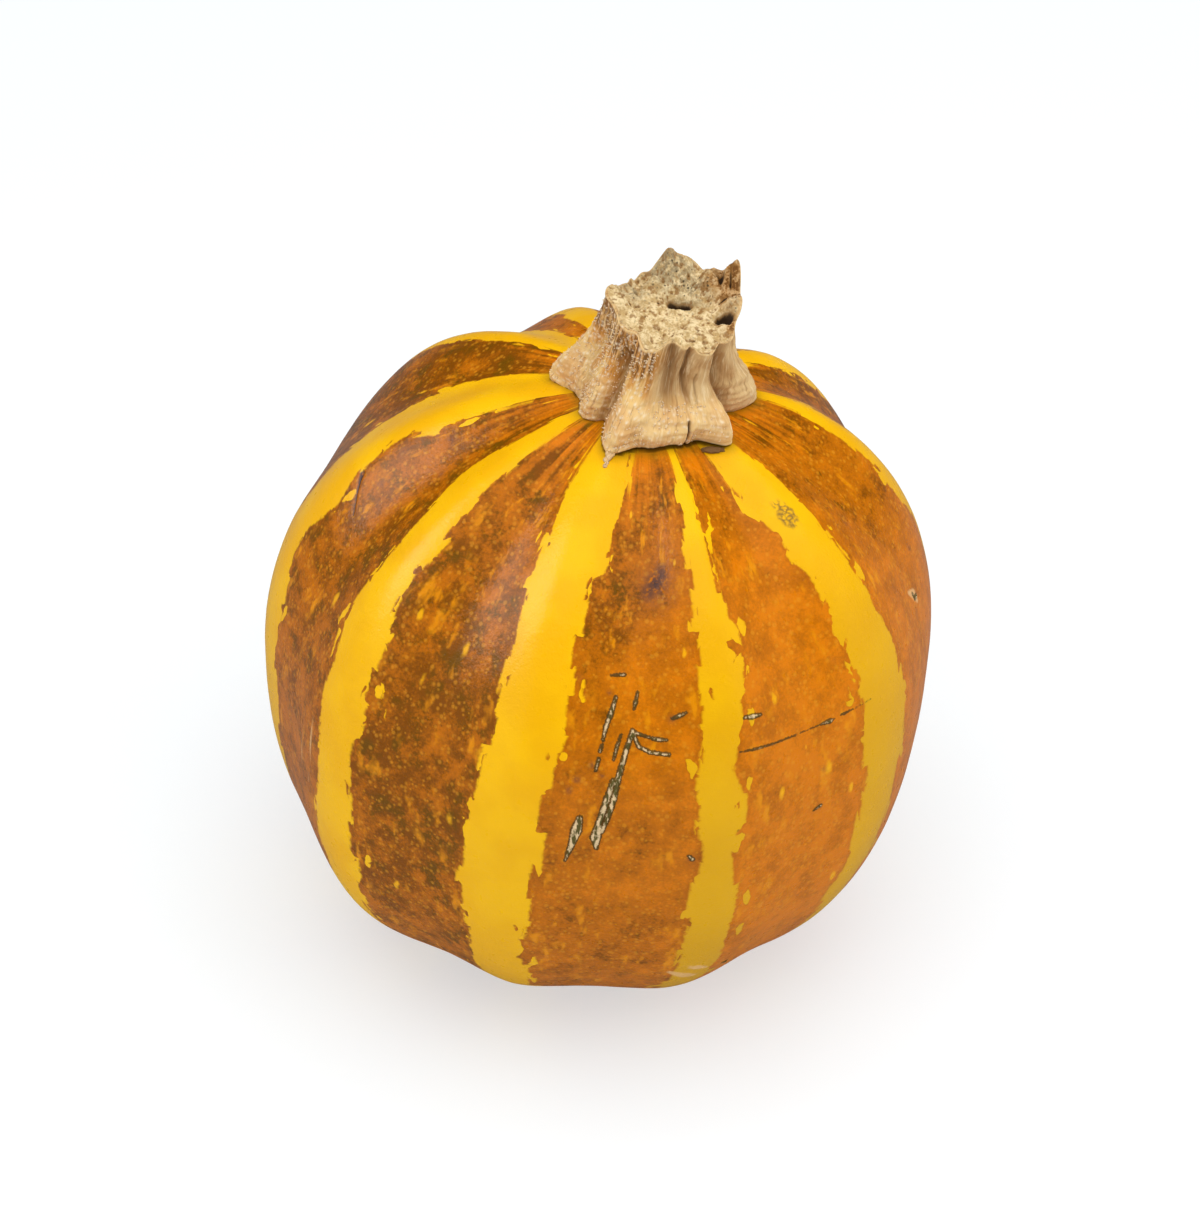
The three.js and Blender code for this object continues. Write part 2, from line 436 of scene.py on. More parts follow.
# Each rib: its crest's direction and swell, then values at some tilts: the yellow stripe's two edges
# in degrees from the crest, how dull the yellow is, which is partly painted shade, deeper towards the
# bottom and on the right-hand ribs, and how dark the skin is from this rib to the next, beside this
# one and beside the next.
ribs = [
    {
        "angle": 4, "swell": -0.08,
        "stripe": [(15, -4, 4), (34, -4.5, 4), (100, -4, 3.5), (170, -3, 3)],
        "dullAndShade": [(20, 0.1), (60, 0.4), (120, 0.5)],
        "shade": [(15, 0.7, 0.9), (40, 0.8, 0.95), (70, 0.75, 0.8), (120, 0.6, 0.6)],
    },
    {
        "angle": 42.5, "swell": -0.065,
        "stripe": [(15, -11, 2), (24, -8, 3), (40, -7, 4), (90, -6, 4.5), (170, -4, 4)],
        "dullAndShade": [(20, 0.0), (120, 0.3)],
        "shade": [(15, 0.6, 0.7), (40, 0.7, 0.8), (80, 0.8, 0.7), (120, 0.6, 0.6)],
    },
    {
        "angle": 75, "swell": 0.001,
        "stripe": [(15, -6, 6), (45, -5, 6), (90, -5, 5), (170, -4, 4)],
        "dullAndShade": [(20, 0.0), (120, 0.25)],
        "shade": [(15, 0.5, 0.6), (40, 0.7, 0.6), (90, 0.6, 0.75), (120, 0.6, 0.7)],
    },
    {
        "angle": 105.5, "swell": 0.01,
        "stripe": [(15, -2.5, 6), (40, -3, 6), (90, -5, 5), (170, -4, 4)],
        "dullAndShade": [(20, 0.0), (120, 0.2)],
        "shade": [(15, 0.5, 0.5), (40, 0.6, 0.6), (80, 0.8, 0.8), (120, 0.7, 0.7)],
    },
    {
        "angle": 137.5, "swell": 0.053,
        "stripe": [(15, -18.5, 3), (40, -17, 3), (60, -12, 2.5), (100, -8, 4), (170, -5, 4)],
        "dullAndShade": [(20, 0.0), (120, 0.2)],
        "shade": [(15, 0.95, 0.95), (60, 0.95, 0.9), (90, 0.85, 0.85), (120, 0.75, 0.75)],
    },
    {
        "angle": 181, "swell": 0.063,
        "stripe": [(18, -24, 5), (32, -23, 5), (40, -19, 1), (48, -14.5, 3), (56, -10.5, 6),
                   (64, -9, 4), (80, -8, 8), (96, -8, 10), (130, -6, 8), (170, -4, 5)],
        "dullAndShade": [(20, 0.0), (120, 0.1)],
        "shade": [(15, 0.85, 0.8), (30, 0.75, 0.95), (50, 0.9, 0.9), (75, 0.7, 0.8), (95, 0.6, 0.6),
                  (130, 0.6, 0.6)],
    },
    {
        "angle": 216, "swell": 0.074,
        "stripe": [(18, -9.5, 3), (30, -11, 3), (42, -8, 4), (50, -7, 2.5), (64, -7, 4.5), (72, -5, 6),
                   (88, -3, 5.5), (98, -4, 6), (112, -4, 5), (170, -3, 3)],
        "dullAndShade": [(20, 0.0), (120, 0.1)],
        "shade": [(15, 0.8, 0.75), (30, 0.85, 0.7), (60, 0.85, 0.85), (88, 0.9, 0.9), (110, 0.8, 0.8),
                  (135, 0.7, 0.7)],
    },
    {
        "angle": 250.5, "swell": 0.023,
        "stripe": [(15, -10.5, 13), (22, -10.5, 12), (34, -8, 10.5), (37.5, -7.8, 10), (39.5, -7.5, 7),
                   (56, -5.5, 7.5), (64, -5.5, 8), (72, -5.5, 6.5), (88, -6.5, 6), (97, -7.5, 5),
                   (108, -5.5, 3.5), (122, -6, 5.5), (170, -4, 4)],
        "dullAndShade": [(70, 0.0), (120, 0.25)],
        "shade": [(15, 0.55, 0.6), (28, 0.75, 0.75), (45, 0.8, 0.5), (58, 0.5, 0.35), (75, 0.55, 0.35),
                  (90, 0.55, 0.42), (105, 0.6, 0.55), (125, 0.5, 0.5)],
    },
    {
        "angle": 285, "swell": -0.016,
        "stripe": [(16, -1, 3), (26, -2.5, 3.3), (34, -3.5, 3), (47, -3.2, 3.2), (49, -3, 4.9), (62, -3, 4),
                   (72, -3.8, 2.2), (80, -3.8, 4.2), (88, -3, 3), (97, -3, 4.5), (115, -3, 4.5),
                   (170, -2.5, 3)],
        "dullAndShade": [(30, 0.0), (50, 0.3), (75, 0.5), (95, 0.75), (110, 1.0)],
        "shade": [(15, 0.8, 0.55), (28, 0.65, 0.3), (40, 0.38, 0.22), (60, 0.28, 0.18), (90, 0.12, 0.12),
                  (120, 0.15, 0.1)],
    },
    {
        "angle": 316.5, "swell": -0.054,
        "stripe": [(16, -12.5, 1), (22, -12, 1.5), (28, -10.5, 4), (38, -7.5, 5), (48, -4.5, 6.5),
                   (56, -4.5, 7.5), (64, -3.5, 9), (76, -2.5, 9.5), (96, -2.8, 6.5), (112, -5, 2),
                   (170, -4, 3)],
        "dullAndShade": [(25, 0.05), (45, 0.35), (60, 0.65), (80, 0.8), (110, 0.9)],
        "shade": [(15, 0.6, 0.65), (30, 0.55, 0.65), (45, 0.38, 0.6), (60, 0.3, 0.38), (90, 0.15, 0.22),
                  (120, 0.15, 0.15)],
    },
]

# Corky scars: the tilt, direction and half width in millimetres of points along each.
corkScars = [
    [(65.0, 269.8, 0.35), (69.2, 268.8, 0.4), (74.8, 267.8, 0.5)],
    [(73.5, 268.0, 0.4), (77.5, 267.6, 0.5), (81.0, 266.9, 0.45), (84.0, 266.2, 0.3)],
    [(74.0, 267.2, 0.4), (78.0, 266.4, 0.55), (82.0, 265.6, 0.5), (85.0, 265.3, 0.9), (87.2, 265.6, 0.3)],
    [(65.3, 270.0, 0.3), (66.1, 272.5, 0.15), (66.5, 274.2, 0.35), (66.6, 275.8, 0.15)],
    [(65.6, 270.0, 0.3), (67.8, 271.0, 0.3), (68.8, 273.0, 0.3), (69.2, 276.2, 0.3)],
    [(59.2, 266.3, 0.25), (62.0, 265.7, 0.4), (64.5, 265.0, 0.35), (66.8, 264.8, 0.2)],
    [(67.6, 264.7, 0.2), (68.8, 264.5, 0.25)],
    [(70.2, 264.4, 0.3), (72.2, 264.1, 0.2)],
    [(58.3, 270.3, 0.15), (60.2, 270.0, 0.3), (61.2, 269.8, 0.15)],
    [(65.8, 267.8, 0.15), (68.0, 267.3, 0.25), (70.3, 266.9, 0.15)],
    [(81.2, 262.4, 0.5), (83.6, 262.1, 0.95), (86.0, 261.7, 0.6), (89.8, 260.8, 0.15)],
    [(62.9, 276.6, 0.15), (62.4, 277.8, 0.35), (61.9, 279.0, 0.15)],
    [(64.2, 289.2, 0.2), (64.5, 290.9, 0.45), (64.7, 292.6, 0.2)],
    [(70.0, 288.0, 0.0), (70.3, 291.0, 0.16), (70.7, 295.0, 0.08), (71.0, 299.5, 0.05)],
    [(71.0, 300.4, 0.0), (71.1, 304.5, 0.02), (71.2, 306.5, 0.42), (71.2, 307.6, 0.0)],
    [(71.0, 308.9, 0.0), (71.0, 309.4, 0.14), (71.0, 312.0, -0.05), (71.0, 315.5, -0.05)],
    [(55.5, 265.0, 0.12), (55.3, 267.5, 0.25)],
    [(87.7, 303.3, 0.15), (87.3, 304.6, 0.3)],
    [(88.5, 280.5, 0.2), (89.2, 281.1, 0.4)],
    [(118.0, 291.8, 0.2), (118.3, 292.8, 0.35)],
    [(66.0, 342.3, 0.3), (67.3, 342.6, 0.35), (67.4, 343.8, 0.3)],
]

# Dark stains and pits: tilt, direction, reach in millimetres along and round, strength
stains = [
    (39.4, 273.6, 2.4, 2.2, 1.0), (37.8, 275.2, 1.9, 1.4, 1.0), (40.8, 272.0, 2.0, 1.5, 0.9),
    (39.5, 273.8, 4.6, 4.0, 0.35),
    (40.0, 186.2, 0.6, 0.9, 1.0), (31.8, 190.0, 0.8, 1.0, 0.7), (36.2, 198.0, 0.6, 0.8, 0.5),
    (43.2, 332.8, 0.5, 0.5, 0.9), (51.2, 352.5, 0.4, 0.4, 0.9), (60.3, 350.5, 0.5, 0.4, 0.9),
    (56.0, 259.5, 0.4, 0.4, 0.5), (71.2, 263.4, 0.6, 0.6, 0.5), (74.0, 261.2, 0.6, 0.6, 0.6),
    (76.0, 260.2, 0.7, 0.5, 0.6), (73.2, 265.3, 0.4, 0.4, 0.5), (61.0, 310.0, 0.4, 0.4, 0.5),
    (89.2, 280.9, 0.9, 0.7, 0.5), (63.0, 276.5, 0.7, 0.6, 0.4), (87.4, 304.4, 0.7, 0.5, 0.4),
    (58.5, 265.0, 0.4, 0.4, 0.5), (80.0, 304.9, 0.6, 0.5, 0.35),
]

# Thin grey-black scratches: tilt, direction and half width along each
scratches = [
    [(48.5, 184.4, 0.5), (49.4, 185.5, 0.3), (51.0, 187.6, 0.16), (53.6, 191.0, 0.12)],
    [(45.6, 189.4, 0.3), (46.2, 190.0, 0.2)],
]

# The scabbed net on one crest
netScab = {
    "tilt": 34.2,
    "angle": 314.2,
    "along": 4.0,
    "round": 1.7,
    "alongDegree": 1.08,  # millimetres to a degree there
    "roundDegree": 0.62,
    "least": 0.2,
    "cells": 0.9,
    "strand": 0.22,
    "worn": (0.3, 0.7),
    "wornLumps": (0.3, 0.7),
    "rise": 0.12,
    "dark": 0.75,
}

# Pale scratched streaks: tilt, direction and half width along each
paleStreaks = [
    [(79.0, 210.8, 0.3), (86.0, 210.3, 0.6), (93.0, 209.3, 0.4), (98.0, 207.5, 0.2)],
    [(84.0, 206.2, 0.2), (90.0, 205.8, 0.5), (95.0, 204.8, 0.3)],
    [(88.0, 214.0, 0.2), (95.0, 213.0, 0.3), (101.0, 211.0, 0.2)],
    [(64.5, 340.6, 0.5), (66.5, 342.8, 1.2), (68.5, 343.5, 0.5)],
    [(113.8, 283.6, 0.4), (115.0, 286.0, 1.0), (116.4, 288.2, 0.4)],
    [(116.4, 281.4, 0.6), (118.6, 284.6, 1.3), (119.8, 287.0, 0.6)],
]

# Stretches of skin that are meshed more finely: tilts, directions, cuts
finePatches = [
    ((57, 91.5), (259, 278), 4),
    ((60.5, 66.5), (278, 294), 4),
    ((68, 73), (286, 317), 4),
    ((54, 57), (263.5, 269), 4),
    ((86, 90), (279, 282.5), 4),
    ((86, 89), (302, 306), 4),
    ((31, 38), (310, 318), 4),
    ((47, 55), (183, 193), 4),
    ((64, 69.5), (339, 346), 4),
    ((115, 119.5), (280, 294), 4),
    ((166, 179), (0, 360), 1),
]
aimSteps = 5  # corrections when a height on the skin is looked up


def ribAt(angle):
    for rib, after in zip(ribs, ribs[1:] + ribs[:1]):
        span = (after["angle"] - rib["angle"]) % 360
        share = (angle - rib["angle"]) % 360 / span
        if share < 1:
            return rib, after, share


def skinPoint(tilt, angle):
    across = max(math.sin(math.radians(tilt)), 0)
    along = math.cos(math.radians(tilt))
    upper = along > 0
    power = fruit["crownPower"] if upper else fruit["footPower"]
    rib, after, share = ribAt(angle)
    nearHere = 0.5 + 0.5 * math.cos(math.pi * share)
    furrow = max(math.sin(math.pi * share), 0) ** fruit["ribSharpness"]
    swell = rib["swell"] * nearHere + after["swell"] * (1 - nearHere)
    fade = 1 - bell(across, fruit["ribFade"])
    shoulder = math.exp(-((math.radians(tilt) - fruit["shoulderTilt"]) / fruit["shoulderReach"]) ** 2 / 2)
    depth = (fruit["ribDepth"] + fruit["shoulderDepth"] * shoulder) * fade
    oval = fruit["ovalShare"] * math.cos(2 * math.radians(angle - fruit["ovalTurn"]))
    scale = (1 - depth * furrow) * (1 + (swell + oval) * across * fade)
    radius = fruit["girthRadius"] * across ** power
    half = fruit["crownHeight"] if upper else fruit["footDepth"]
    level = half * math.copysign(abs(along) ** power, along) * scale
    if upper:
        level -= fruit["crownDimple"] * bell(radius, fruit["crownDimpleRadius"])
    shift = fruit["girthShift"] * across ** 2 + fruit["crownShift"] * (along + along ** 2) / 2
    floor = fruit["footFlat"] - fruit["footDepth"]
    point = onCircle(radius * scale, angle)
    return Vector((point.x + shift, point.y, max(level, floor) - floor))


def crownLevel(x, y):  # the skin's height at a place near the crown
    aimX = x - fruit["crownShift"]
    aimY = y
    for step in range(aimSteps):
        across = (math.hypot(aimX, aimY) / fruit["girthRadius"]) ** (1 / fruit["crownPower"])
        point = skinPoint(math.degrees(math.asin(across)), math.degrees(math.atan2(aimY, aimX)))
        aimX += x - point.x
        aimY += y - point.y
    return point.z


def stripeDepth(tilt, angle):  # how far inside a yellow stripe a direction is, negative outside
    best = -math.inf
    dullAndShade = 0
    for rib in ribAt(angle)[:2]:
        offset = turnBetween(rib["angle"], angle)
        left, right = alongKnots(rib["stripe"], tilt)
        inside = math.radians(min(offset - left, right - offset)) * fruit["patternRadius"]
        if inside > best:
            best = inside
            dullAndShade = alongKnots(rib["dullAndShade"], tilt)[0]
    return best, dullAndShade


def skinShade(tilt, angle):
    rib, after, share = ribAt(angle)
    left, right = alongKnots(rib["shade"], tilt)
    return left + (right - left) * smoothStep(share, *fruit["shadeBlend"])


def strokeDepth(point, stroke):  # millimetres inside a stroke of changing half width
    best = -math.inf
    for (start, startWidth), (end, endWidth) in zip(stroke, stroke[1:]):
        along = end - start
        share = clamp((point - start).dot(along) / along.length_squared)
        width = startWidth + (endWidth - startWidth) * share
        best = max(best, width - (point - start - along * share).length)
    return best


def reachOf(stroke):  # a ball that holds the stroke, for a quick test
    middle = sum((point for point, width in stroke), Vector()) / len(stroke)
    return middle, max((point - middle).length + width for point, width in stroke) + fruit["strokeMargin"]


def placeStrokes(strokes):
    placed = []
    for stroke in strokes:
        onSkin = [(skinPoint(tilt, angle), width) for tilt, angle, width in stroke]
        placed.append((onSkin, reachOf(onSkin)))
    return placed


def deepest(point, strokes):
    depth = fruit["farFromStroke"]
    for stroke, (middle, reach) in strokes:
        if (point - middle).length < reach:
            depth = max(depth, strokeDepth(point, stroke))
    return depth


def tiltAndAngle(direction):
    tilt = math.degrees(math.acos(clamp(direction.normalized().z, -1, 1)))
    return tilt, math.degrees(math.atan2(direction.y, direction.x)) % 360


def refineSkin(bm):
    chosen = {}
    for face in bm.faces:
        tilt, angle = tiltAndAngle(face.calc_center_median())
        for tilts, angles, cuts in finePatches:
            if tilts[0] < tilt < tilts[1] and angles[0] < angle < angles[1]:
                chosen.setdefault(cuts, set()).update(face.edges)
    for cuts, edges in chosen.items():
        bmesh.ops.subdivide_edges(bm, edges=list(edges), cuts=cuts, use_grid_fill=True, use_single_edge=True)


# Display colours of the skin
skinPaints = {
    "yellow": (250, 190, 0),
    "deepYellow": (243, 179, 0),
    # partly the yellow's own dull tone, partly painted shade on the lower and right-hand skin
    "dullShadedYellow": (216, 160, 12),
    "orange": (217, 121, 0),
    "rust": (186, 103, 0),
    "brown": (130, 72, 0),
    "olive": (104, 72, 0),
    "gold": (230, 144, 0),
    "pinprick": (226, 150, 30),
    "light": (246, 176, 6),
    "stripeRim": (160, 78, 0),
    "freckle": (140, 84, 10),
    # painted shade round the stem's foot, and the painted shadow in the gap under its front edge
    "paintedStemShade": (150, 120, 20),
    "paintedGapShadow": (74, 48, 12),
    "scratched": (232, 184, 122),
    "stain": (74, 54, 52),
    "corkRim": (60, 54, 20),
    "corkDark": (92, 82, 40),
    "corkPale": (226, 196, 150),
}

# Patterns of the skin. A cloud is its scale to a millimetre, its detail and its roughness. A span is
# where a pattern starts and where it is full, with its values there if they aren't 0 and 1.
skinLook = {
    "push": (0.4, 1.8),  # scale and reach of what makes nicks and blotches uneven
    "edgePush": (0.3, 2.5),  # the same for notches and islands
    "notchScale": (0.24, 0.24, 0.17),
    "notchRandomness": 0.9,
    "notchWeight": 2.0,
    "nickScale": 0.75,
    "nickWeight": 0.5,
    "fray": (1.0, 1.0),
    "frayWeight": 0.6,
    "streakScale": (0.34, 0.34, 0.03),
    "streak": (1.0, 2.0),
    "streakSpan": (36, 16),  # millimetres from the crown
    "streakWeight": 13,
    "islandScale": (0.34, 0.34, 0.17),
    "island": (1.0, 0.0),
    "islandSpan": (0.66, 0.78, 0.0, 3.0),
    "inletSpan": (0.27, 0.2, 0.0, 2.0),
    "edgeSoftening": (32, 18, 1.0, 0.35),
    "edgeSpan": (-0.4, 0.34),
    "wash": (0.09, 2.0),
    "washSpan": (0.35, 0.65),
    "mottle": (0.17, 3.0, 0.55),
    "mottleWeight": 1.35,
    "blotch": (0.42, 2.0),
    "blotchWeight": 0.8,
    "speckle": (1.9, 2.0, 0.6),
    "speckleWeight": 0.8,
    "streakDark": -3.0,
    "leastDark": 0.1,
    "shadeDark": 0.85,
    "crownPaling": (25, 15, 0.0, 0.4),
    "rustSpan": (0.0, 0.6),
    "brownSpan": (0.5, 1.05),
    "olive": (0.24, 2.0),
    "oliveSpan": (0.46, 0.66, 0.0, 0.7),
    "oliveDark": (0.65, 1.05),
    "cluster": (0.11, 1.0),
    "clusterSpan": (0.42, 0.6, 0.15, 1.0),
    "drawnPush": (0.5, 1.2),
    "drawnScale": (0.42, 0.42, 0.2),  # flecks are drawn out along the ribs
    "gold": (1.0, 2.0, 0.55),
    "goldSpan": (0.54, 0.74),
    "goldStrength": 0.85,
    "pinpricks": {"Scale": 0.95, "Size": 0.46, "Share": 0.75},
    "pinprickStrength": 0.42,
    "lights": {"Scale": 0.55, "Size": 0.2, "Share": 0.22},
    "lightStrength": 0.85,
    "rimSpan": (-1.2, -0.25),
    "rimStrength": 0.28,
    "freckles": {"Scale": 0.16, "Size": 0.07, "Share": 0.3},
    "freckleStrength": 0.7,
    # how strongly the painted shade round the stem's foot is laid on, and where the painted shadow in the gap
    # under its front edge sets in
    "paintedStemShadeStrength": 0.6,
    "gapSpan": (0.8, 1.0, 0.0, 0.75),
    "scratchedSpan": (-0.2, 0.4),
    "scratchedStrength": 0.75,
    "smudge": (1.2, 3.0),
    "smudgeSpan": (0.25, 0.5),
    "corkGrain": (3.2, 2.0),
    "corkUneven": 0.5,
    "corkRimSpan": (-0.24, -0.06),
    "corkRimStrength": 0.85,
    "flakeScale": (1.5, 1.5, 0.5),
    "flake": (1.0, 3.0),
    "flakeSpan": (0.42, 0.56),
    "corkSpan": (0.04, 0.26),
    "roughness": 0.24,
    "roughnessCloud": (0.5, 3.0),
    "roughnessUneven": 0.1,
    "corkRoughness": 0.85,
    "corkRoughnessSpan": (-0.2, 0.1),
    "specular": 0.17,
    "grain": {"Coarse": 0.7, "Fine": 2.6},
    "pores": {"Scale": 0.9, "Size": 0.2, "Share": 0.5},
    "poreDepth": 0.25,
    "corkReliefSpan": (-0.1, 0.3),
    "bump": (0.35, 0.0004),
}
noiseMiddle = 0.5
skinTraits = ("stripe", "shade", "dullAndShade", "cork", "stain", "pale", "paintedStemShadow")


# the stripe's notched edge, drawn out into streaks near the stem
def notchStripe(tree, look, coords, place, uneven, stripe, fromCrown):
    ragged = warp(tree, coords, *look["edgePush"])
    notches = stretch(tree, ragged, look["notchScale"])
    notch = cells(tree, notches, 1.0, "CHEBYCHEV", look["notchRandomness"])[1]
    nick = cells(tree, uneven, look["nickScale"], "CHEBYCHEV")[1]
    fray = cloud(tree, place, *look["fray"])
    streak = cloud(tree, stretch(tree, coords, look["streakScale"]), *look["streak"])
    streak = calc(tree, "SUBTRACT", streak, noiseMiddle)
    streak = calc(tree, "MULTIPLY", streak, ramp(tree, fromCrown, *look["streakSpan"]))
    edge = weigh(tree, stripe, (
        (notch, noiseMiddle, look["notchWeight"]),
        (nick, noiseMiddle, look["nickWeight"]),
        (fray, noiseMiddle, look["frayWeight"]),
        (streak, 0, look["streakWeight"]),
    ))
    island = cloud(tree, stretch(tree, ragged, look["islandScale"]), *look["island"])
    edge = calc(tree, "ADD", edge, ramp(tree, island, *look["islandSpan"]))
    edge = calc(tree, "SUBTRACT", edge, ramp(tree, island, *look["inletSpan"]))
    softened = calc(tree, "MULTIPLY", edge, ramp(tree, fromCrown, *look["edgeSoftening"]))
    return edge, ramp(tree, softened, *look["edgeSpan"]), streak


# the dark and orange skin between the stripes
def paintBetween(tree, look, hue, coords, place, uneven, shade, streak, fromCrown):
    dark = calc(tree, "ADD", look["leastDark"], calc(tree, "MULTIPLY", shade, look["shadeDark"]))
    dark = weigh(tree, dark, (
        (cloud(tree, place, *look["mottle"]), noiseMiddle, look["mottleWeight"]),
        (cloud(tree, uneven, *look["blotch"]), noiseMiddle, look["blotchWeight"]),
        (cloud(tree, place, *look["speckle"]), noiseMiddle, look["speckleWeight"]),
        (streak, 0, look["streakDark"]),
    ))
    dark = calc(tree, "SUBTRACT", dark, ramp(tree, fromCrown, *look["crownPaling"]))
    between = mixPaint(tree, ramp(tree, dark, *look["rustSpan"]), hue["orange"], hue["rust"])
    between = mixPaint(tree, ramp(tree, dark, *look["brownSpan"]), between, hue["brown"])
    olive = ramp(tree, cloud(tree, place, *look["olive"]), *look["oliveSpan"])
    between = layOn(tree, between, olive, ramp(tree, dark, *look["oliveDark"]), hue["olive"])
    clusters = ramp(tree, cloud(tree, place, *look["cluster"]), *look["clusterSpan"])
    drawn = stretch(tree, warp(tree, coords, *look["drawnPush"]), look["drawnScale"])
    gold = ramp(tree, cloud(tree, drawn, *look["gold"]), *look["goldSpan"])
    clusters = calc(tree, "MULTIPLY", clusters, look["goldStrength"])
    between = layOn(tree, between, gold, clusters, hue["gold"])
    pinpricks = useGroup(tree, softDots, Vector=place, **look["pinpricks"])["Mask"]
    between = layOn(tree, between, pinpricks, look["pinprickStrength"], hue["pinprick"])
    lights = useGroup(tree, softDots, Vector=drawn, **look["lights"])["Mask"]
    return layOn(tree, between, lights, look["lightStrength"], hue["light"])


# cork with its dark green outline
def paintCork(tree, look, hue, place, color, inCork):
    rim = ramp(tree, inCork, *look["corkRimSpan"])
    color = layOn(tree, color, rim, look["corkRimStrength"], hue["corkRim"])
    flake = cloud(tree, stretch(tree, place, look["flakeScale"]), *look["flake"])
    flakes = mixPaint(tree, ramp(tree, flake, *look["flakeSpan"]), hue["corkDark"], hue["corkPale"])
    return mixPaint(tree, ramp(tree, inCork, *look["corkSpan"]), color, flakes)


def makeSkinMaterial():
    material, tree, surface = newMaterial("waxyStripedSkin")
    look = skinLook
    hue = {name: paint(display) for name, display in skinPaints.items()}
    coords = readPoint(tree, "skinPattern", "Vector")
    stripe, shade, dullAndShade, cork, stain, pale, paintedStemShadow = [readPoint(tree, trait) for trait in skinTraits]
    place = inMillimetres(tree)
    uneven = warp(tree, place, *look["push"])
    split = tree.nodes.new("ShaderNodeSeparateXYZ")
    tree.links.new(coords, split.inputs["Vector"])
    fromCrown = split.outputs["Z"]

    edge, inYellow, streak = notchStripe(tree, look, coords, place, uneven, stripe, fromCrown)
    wash = ramp(tree, cloud(tree, place, *look["wash"]), *look["washSpan"])
    yellow = mixPaint(tree, wash, hue["yellow"], hue["deepYellow"])
    # the dull yellow is partly the skin's own tone and partly painted shade, deeper towards the bottom and on
    # the right-hand ribs
    yellow = mixPaint(tree, dullAndShade, yellow, hue["dullShadedYellow"])
    freckles = useGroup(tree, softDots, Vector=place, **look["freckles"])["Mask"]
    yellow = layOn(tree, yellow, freckles, look["freckleStrength"], hue["freckle"])
    between = paintBetween(tree, look, hue, coords, place, uneven, shade, streak, fromCrown)
    between = layOn(tree, between, ramp(tree, edge, *look["rimSpan"]), look["rimStrength"], hue["stripeRim"])
    color = mixPaint(tree, inYellow, between, yellow)

    # painted shade round the stem's foot, then a painted shadow line in the gap under its front edge
    color = layOn(tree, color, paintedStemShadow, look["paintedStemShadeStrength"], hue["paintedStemShade"])
    color = mixPaint(tree, ramp(tree, paintedStemShadow, *look["gapSpan"]), color, hue["paintedGapShadow"])
    scratched = ramp(tree, pale, *look["scratchedSpan"])
    color = layOn(tree, color, scratched, look["scratchedStrength"], hue["scratched"])
    smudge = ramp(tree, cloud(tree, place, *look["smudge"]), *look["smudgeSpan"])
    color = layOn(tree, color, stain, smudge, hue["stain"])
    corkGrain = cloud(tree, place, *look["corkGrain"])
    inCork = weigh(tree, cork, ((corkGrain, noiseMiddle, look["corkUneven"]),))
    tree.links.new(paintCork(tree, look, hue, place, color, inCork), surface.inputs["Base Color"])

    roughness = cloud(tree, place, *look["roughnessCloud"])
    roughness = calc(tree, "MULTIPLY", roughness, look["roughnessUneven"])
    roughness = calc(tree, "ADD", look["roughness"], roughness)
    onCork = ramp(tree, inCork, *look["corkRoughnessSpan"])
    roughness = mixValue(tree, onCork, roughness, look["corkRoughness"])
    tree.links.new(roughness, surface.inputs["Roughness"])
    surface.inputs["Specular IOR Level"].default_value = look["specular"]

    grain = useGroup(tree, unevenGrain, Vector=place, **look["grain"])["Value"]
    pores = useGroup(tree, softDots, Vector=place, **look["pores"])["Mask"]
    height = calc(tree, "SUBTRACT", grain, calc(tree, "MULTIPLY", pores, look["poreDepth"]))
    corkRelief = calc(tree, "MULTIPLY", ramp(tree, inCork, *look["corkReliefSpan"]), corkGrain)
    bumpInto(tree, surface, calc(tree, "ADD", height, corkRelief), *look["bump"])
    return material


def stainAt(point):
    strength = 0
    for centre, down, aside, along, around, dark in placedStains:
        away = point - centre
        if away.length < fruit["stainCutoff"] * max(along, around):
            reach = (away.dot(down) / along) ** 2 + (away.dot(aside) / around) ** 2
            strength = max(strength, dark * math.exp(-reach))
    return strength


def placeStains():
    placed = []
    for tilt, angle, along, around, dark in stains:
        centre = skinPoint(tilt, angle)
        down = (skinPoint(tilt + 1, angle) - centre).normalized()
        aside = (skinPoint(tilt, angle + 1) - centre).normalized()
        placed.append((centre, down, aside, along, around, dark))
    return placed


def netStrand(point, outward, tilt, angle):  # 1 in the middle of a strand of the scabbed net
    along = (tilt - netScab["tilt"]) * netScab["alongDegree"]
    around = turnBetween(netScab["angle"], angle) * netScab["roundDegree"]
    net = bell(along, netScab["along"]) * bell(around, netScab["round"])
    if net <= netScab["least"]:
        return 0
    web = noise.voronoi(point * netScab["cells"] + outward * noise.noise(point))[0]
    lumps, scale = netScab["wornLumps"]
    worn = smoothStep(net + lumps * noise.noise(point * scale), *netScab["worn"])
    return bell(web[1] - web[0], netScab["strand"]) * worn


def footRelief(point):  # the sunken blossom-end scar, and how far inside it a place is
    reach = math.hypot(point.x, point.y)
    scar = fruit["footScar"]
    lumps, scale = fruit["footScarLumps"]
    sunk = smoothStep(reach, scar + fruit["footScarEdge"], scar - fruit["footScarEdge"])
    sunk *= fruit["footScarDepth"] * (1 + lumps * noise.noise(point * scale))
    rise = fruit["navelRise"] * bell(reach, fruit["navelReach"]) - sunk
    return rise, scar - reach + noise.noise(point * fruit["footScarRagged"])


def stemShadow(point):  # 1 at the stem's edge and under it
    away = point.xy - Vector(stem["foot"])
    edge = stemRadius(math.degrees(math.atan2(away.y, away.x)), 0)
    return bell(max(away.length - edge, 0), fruit["stemShadow"])


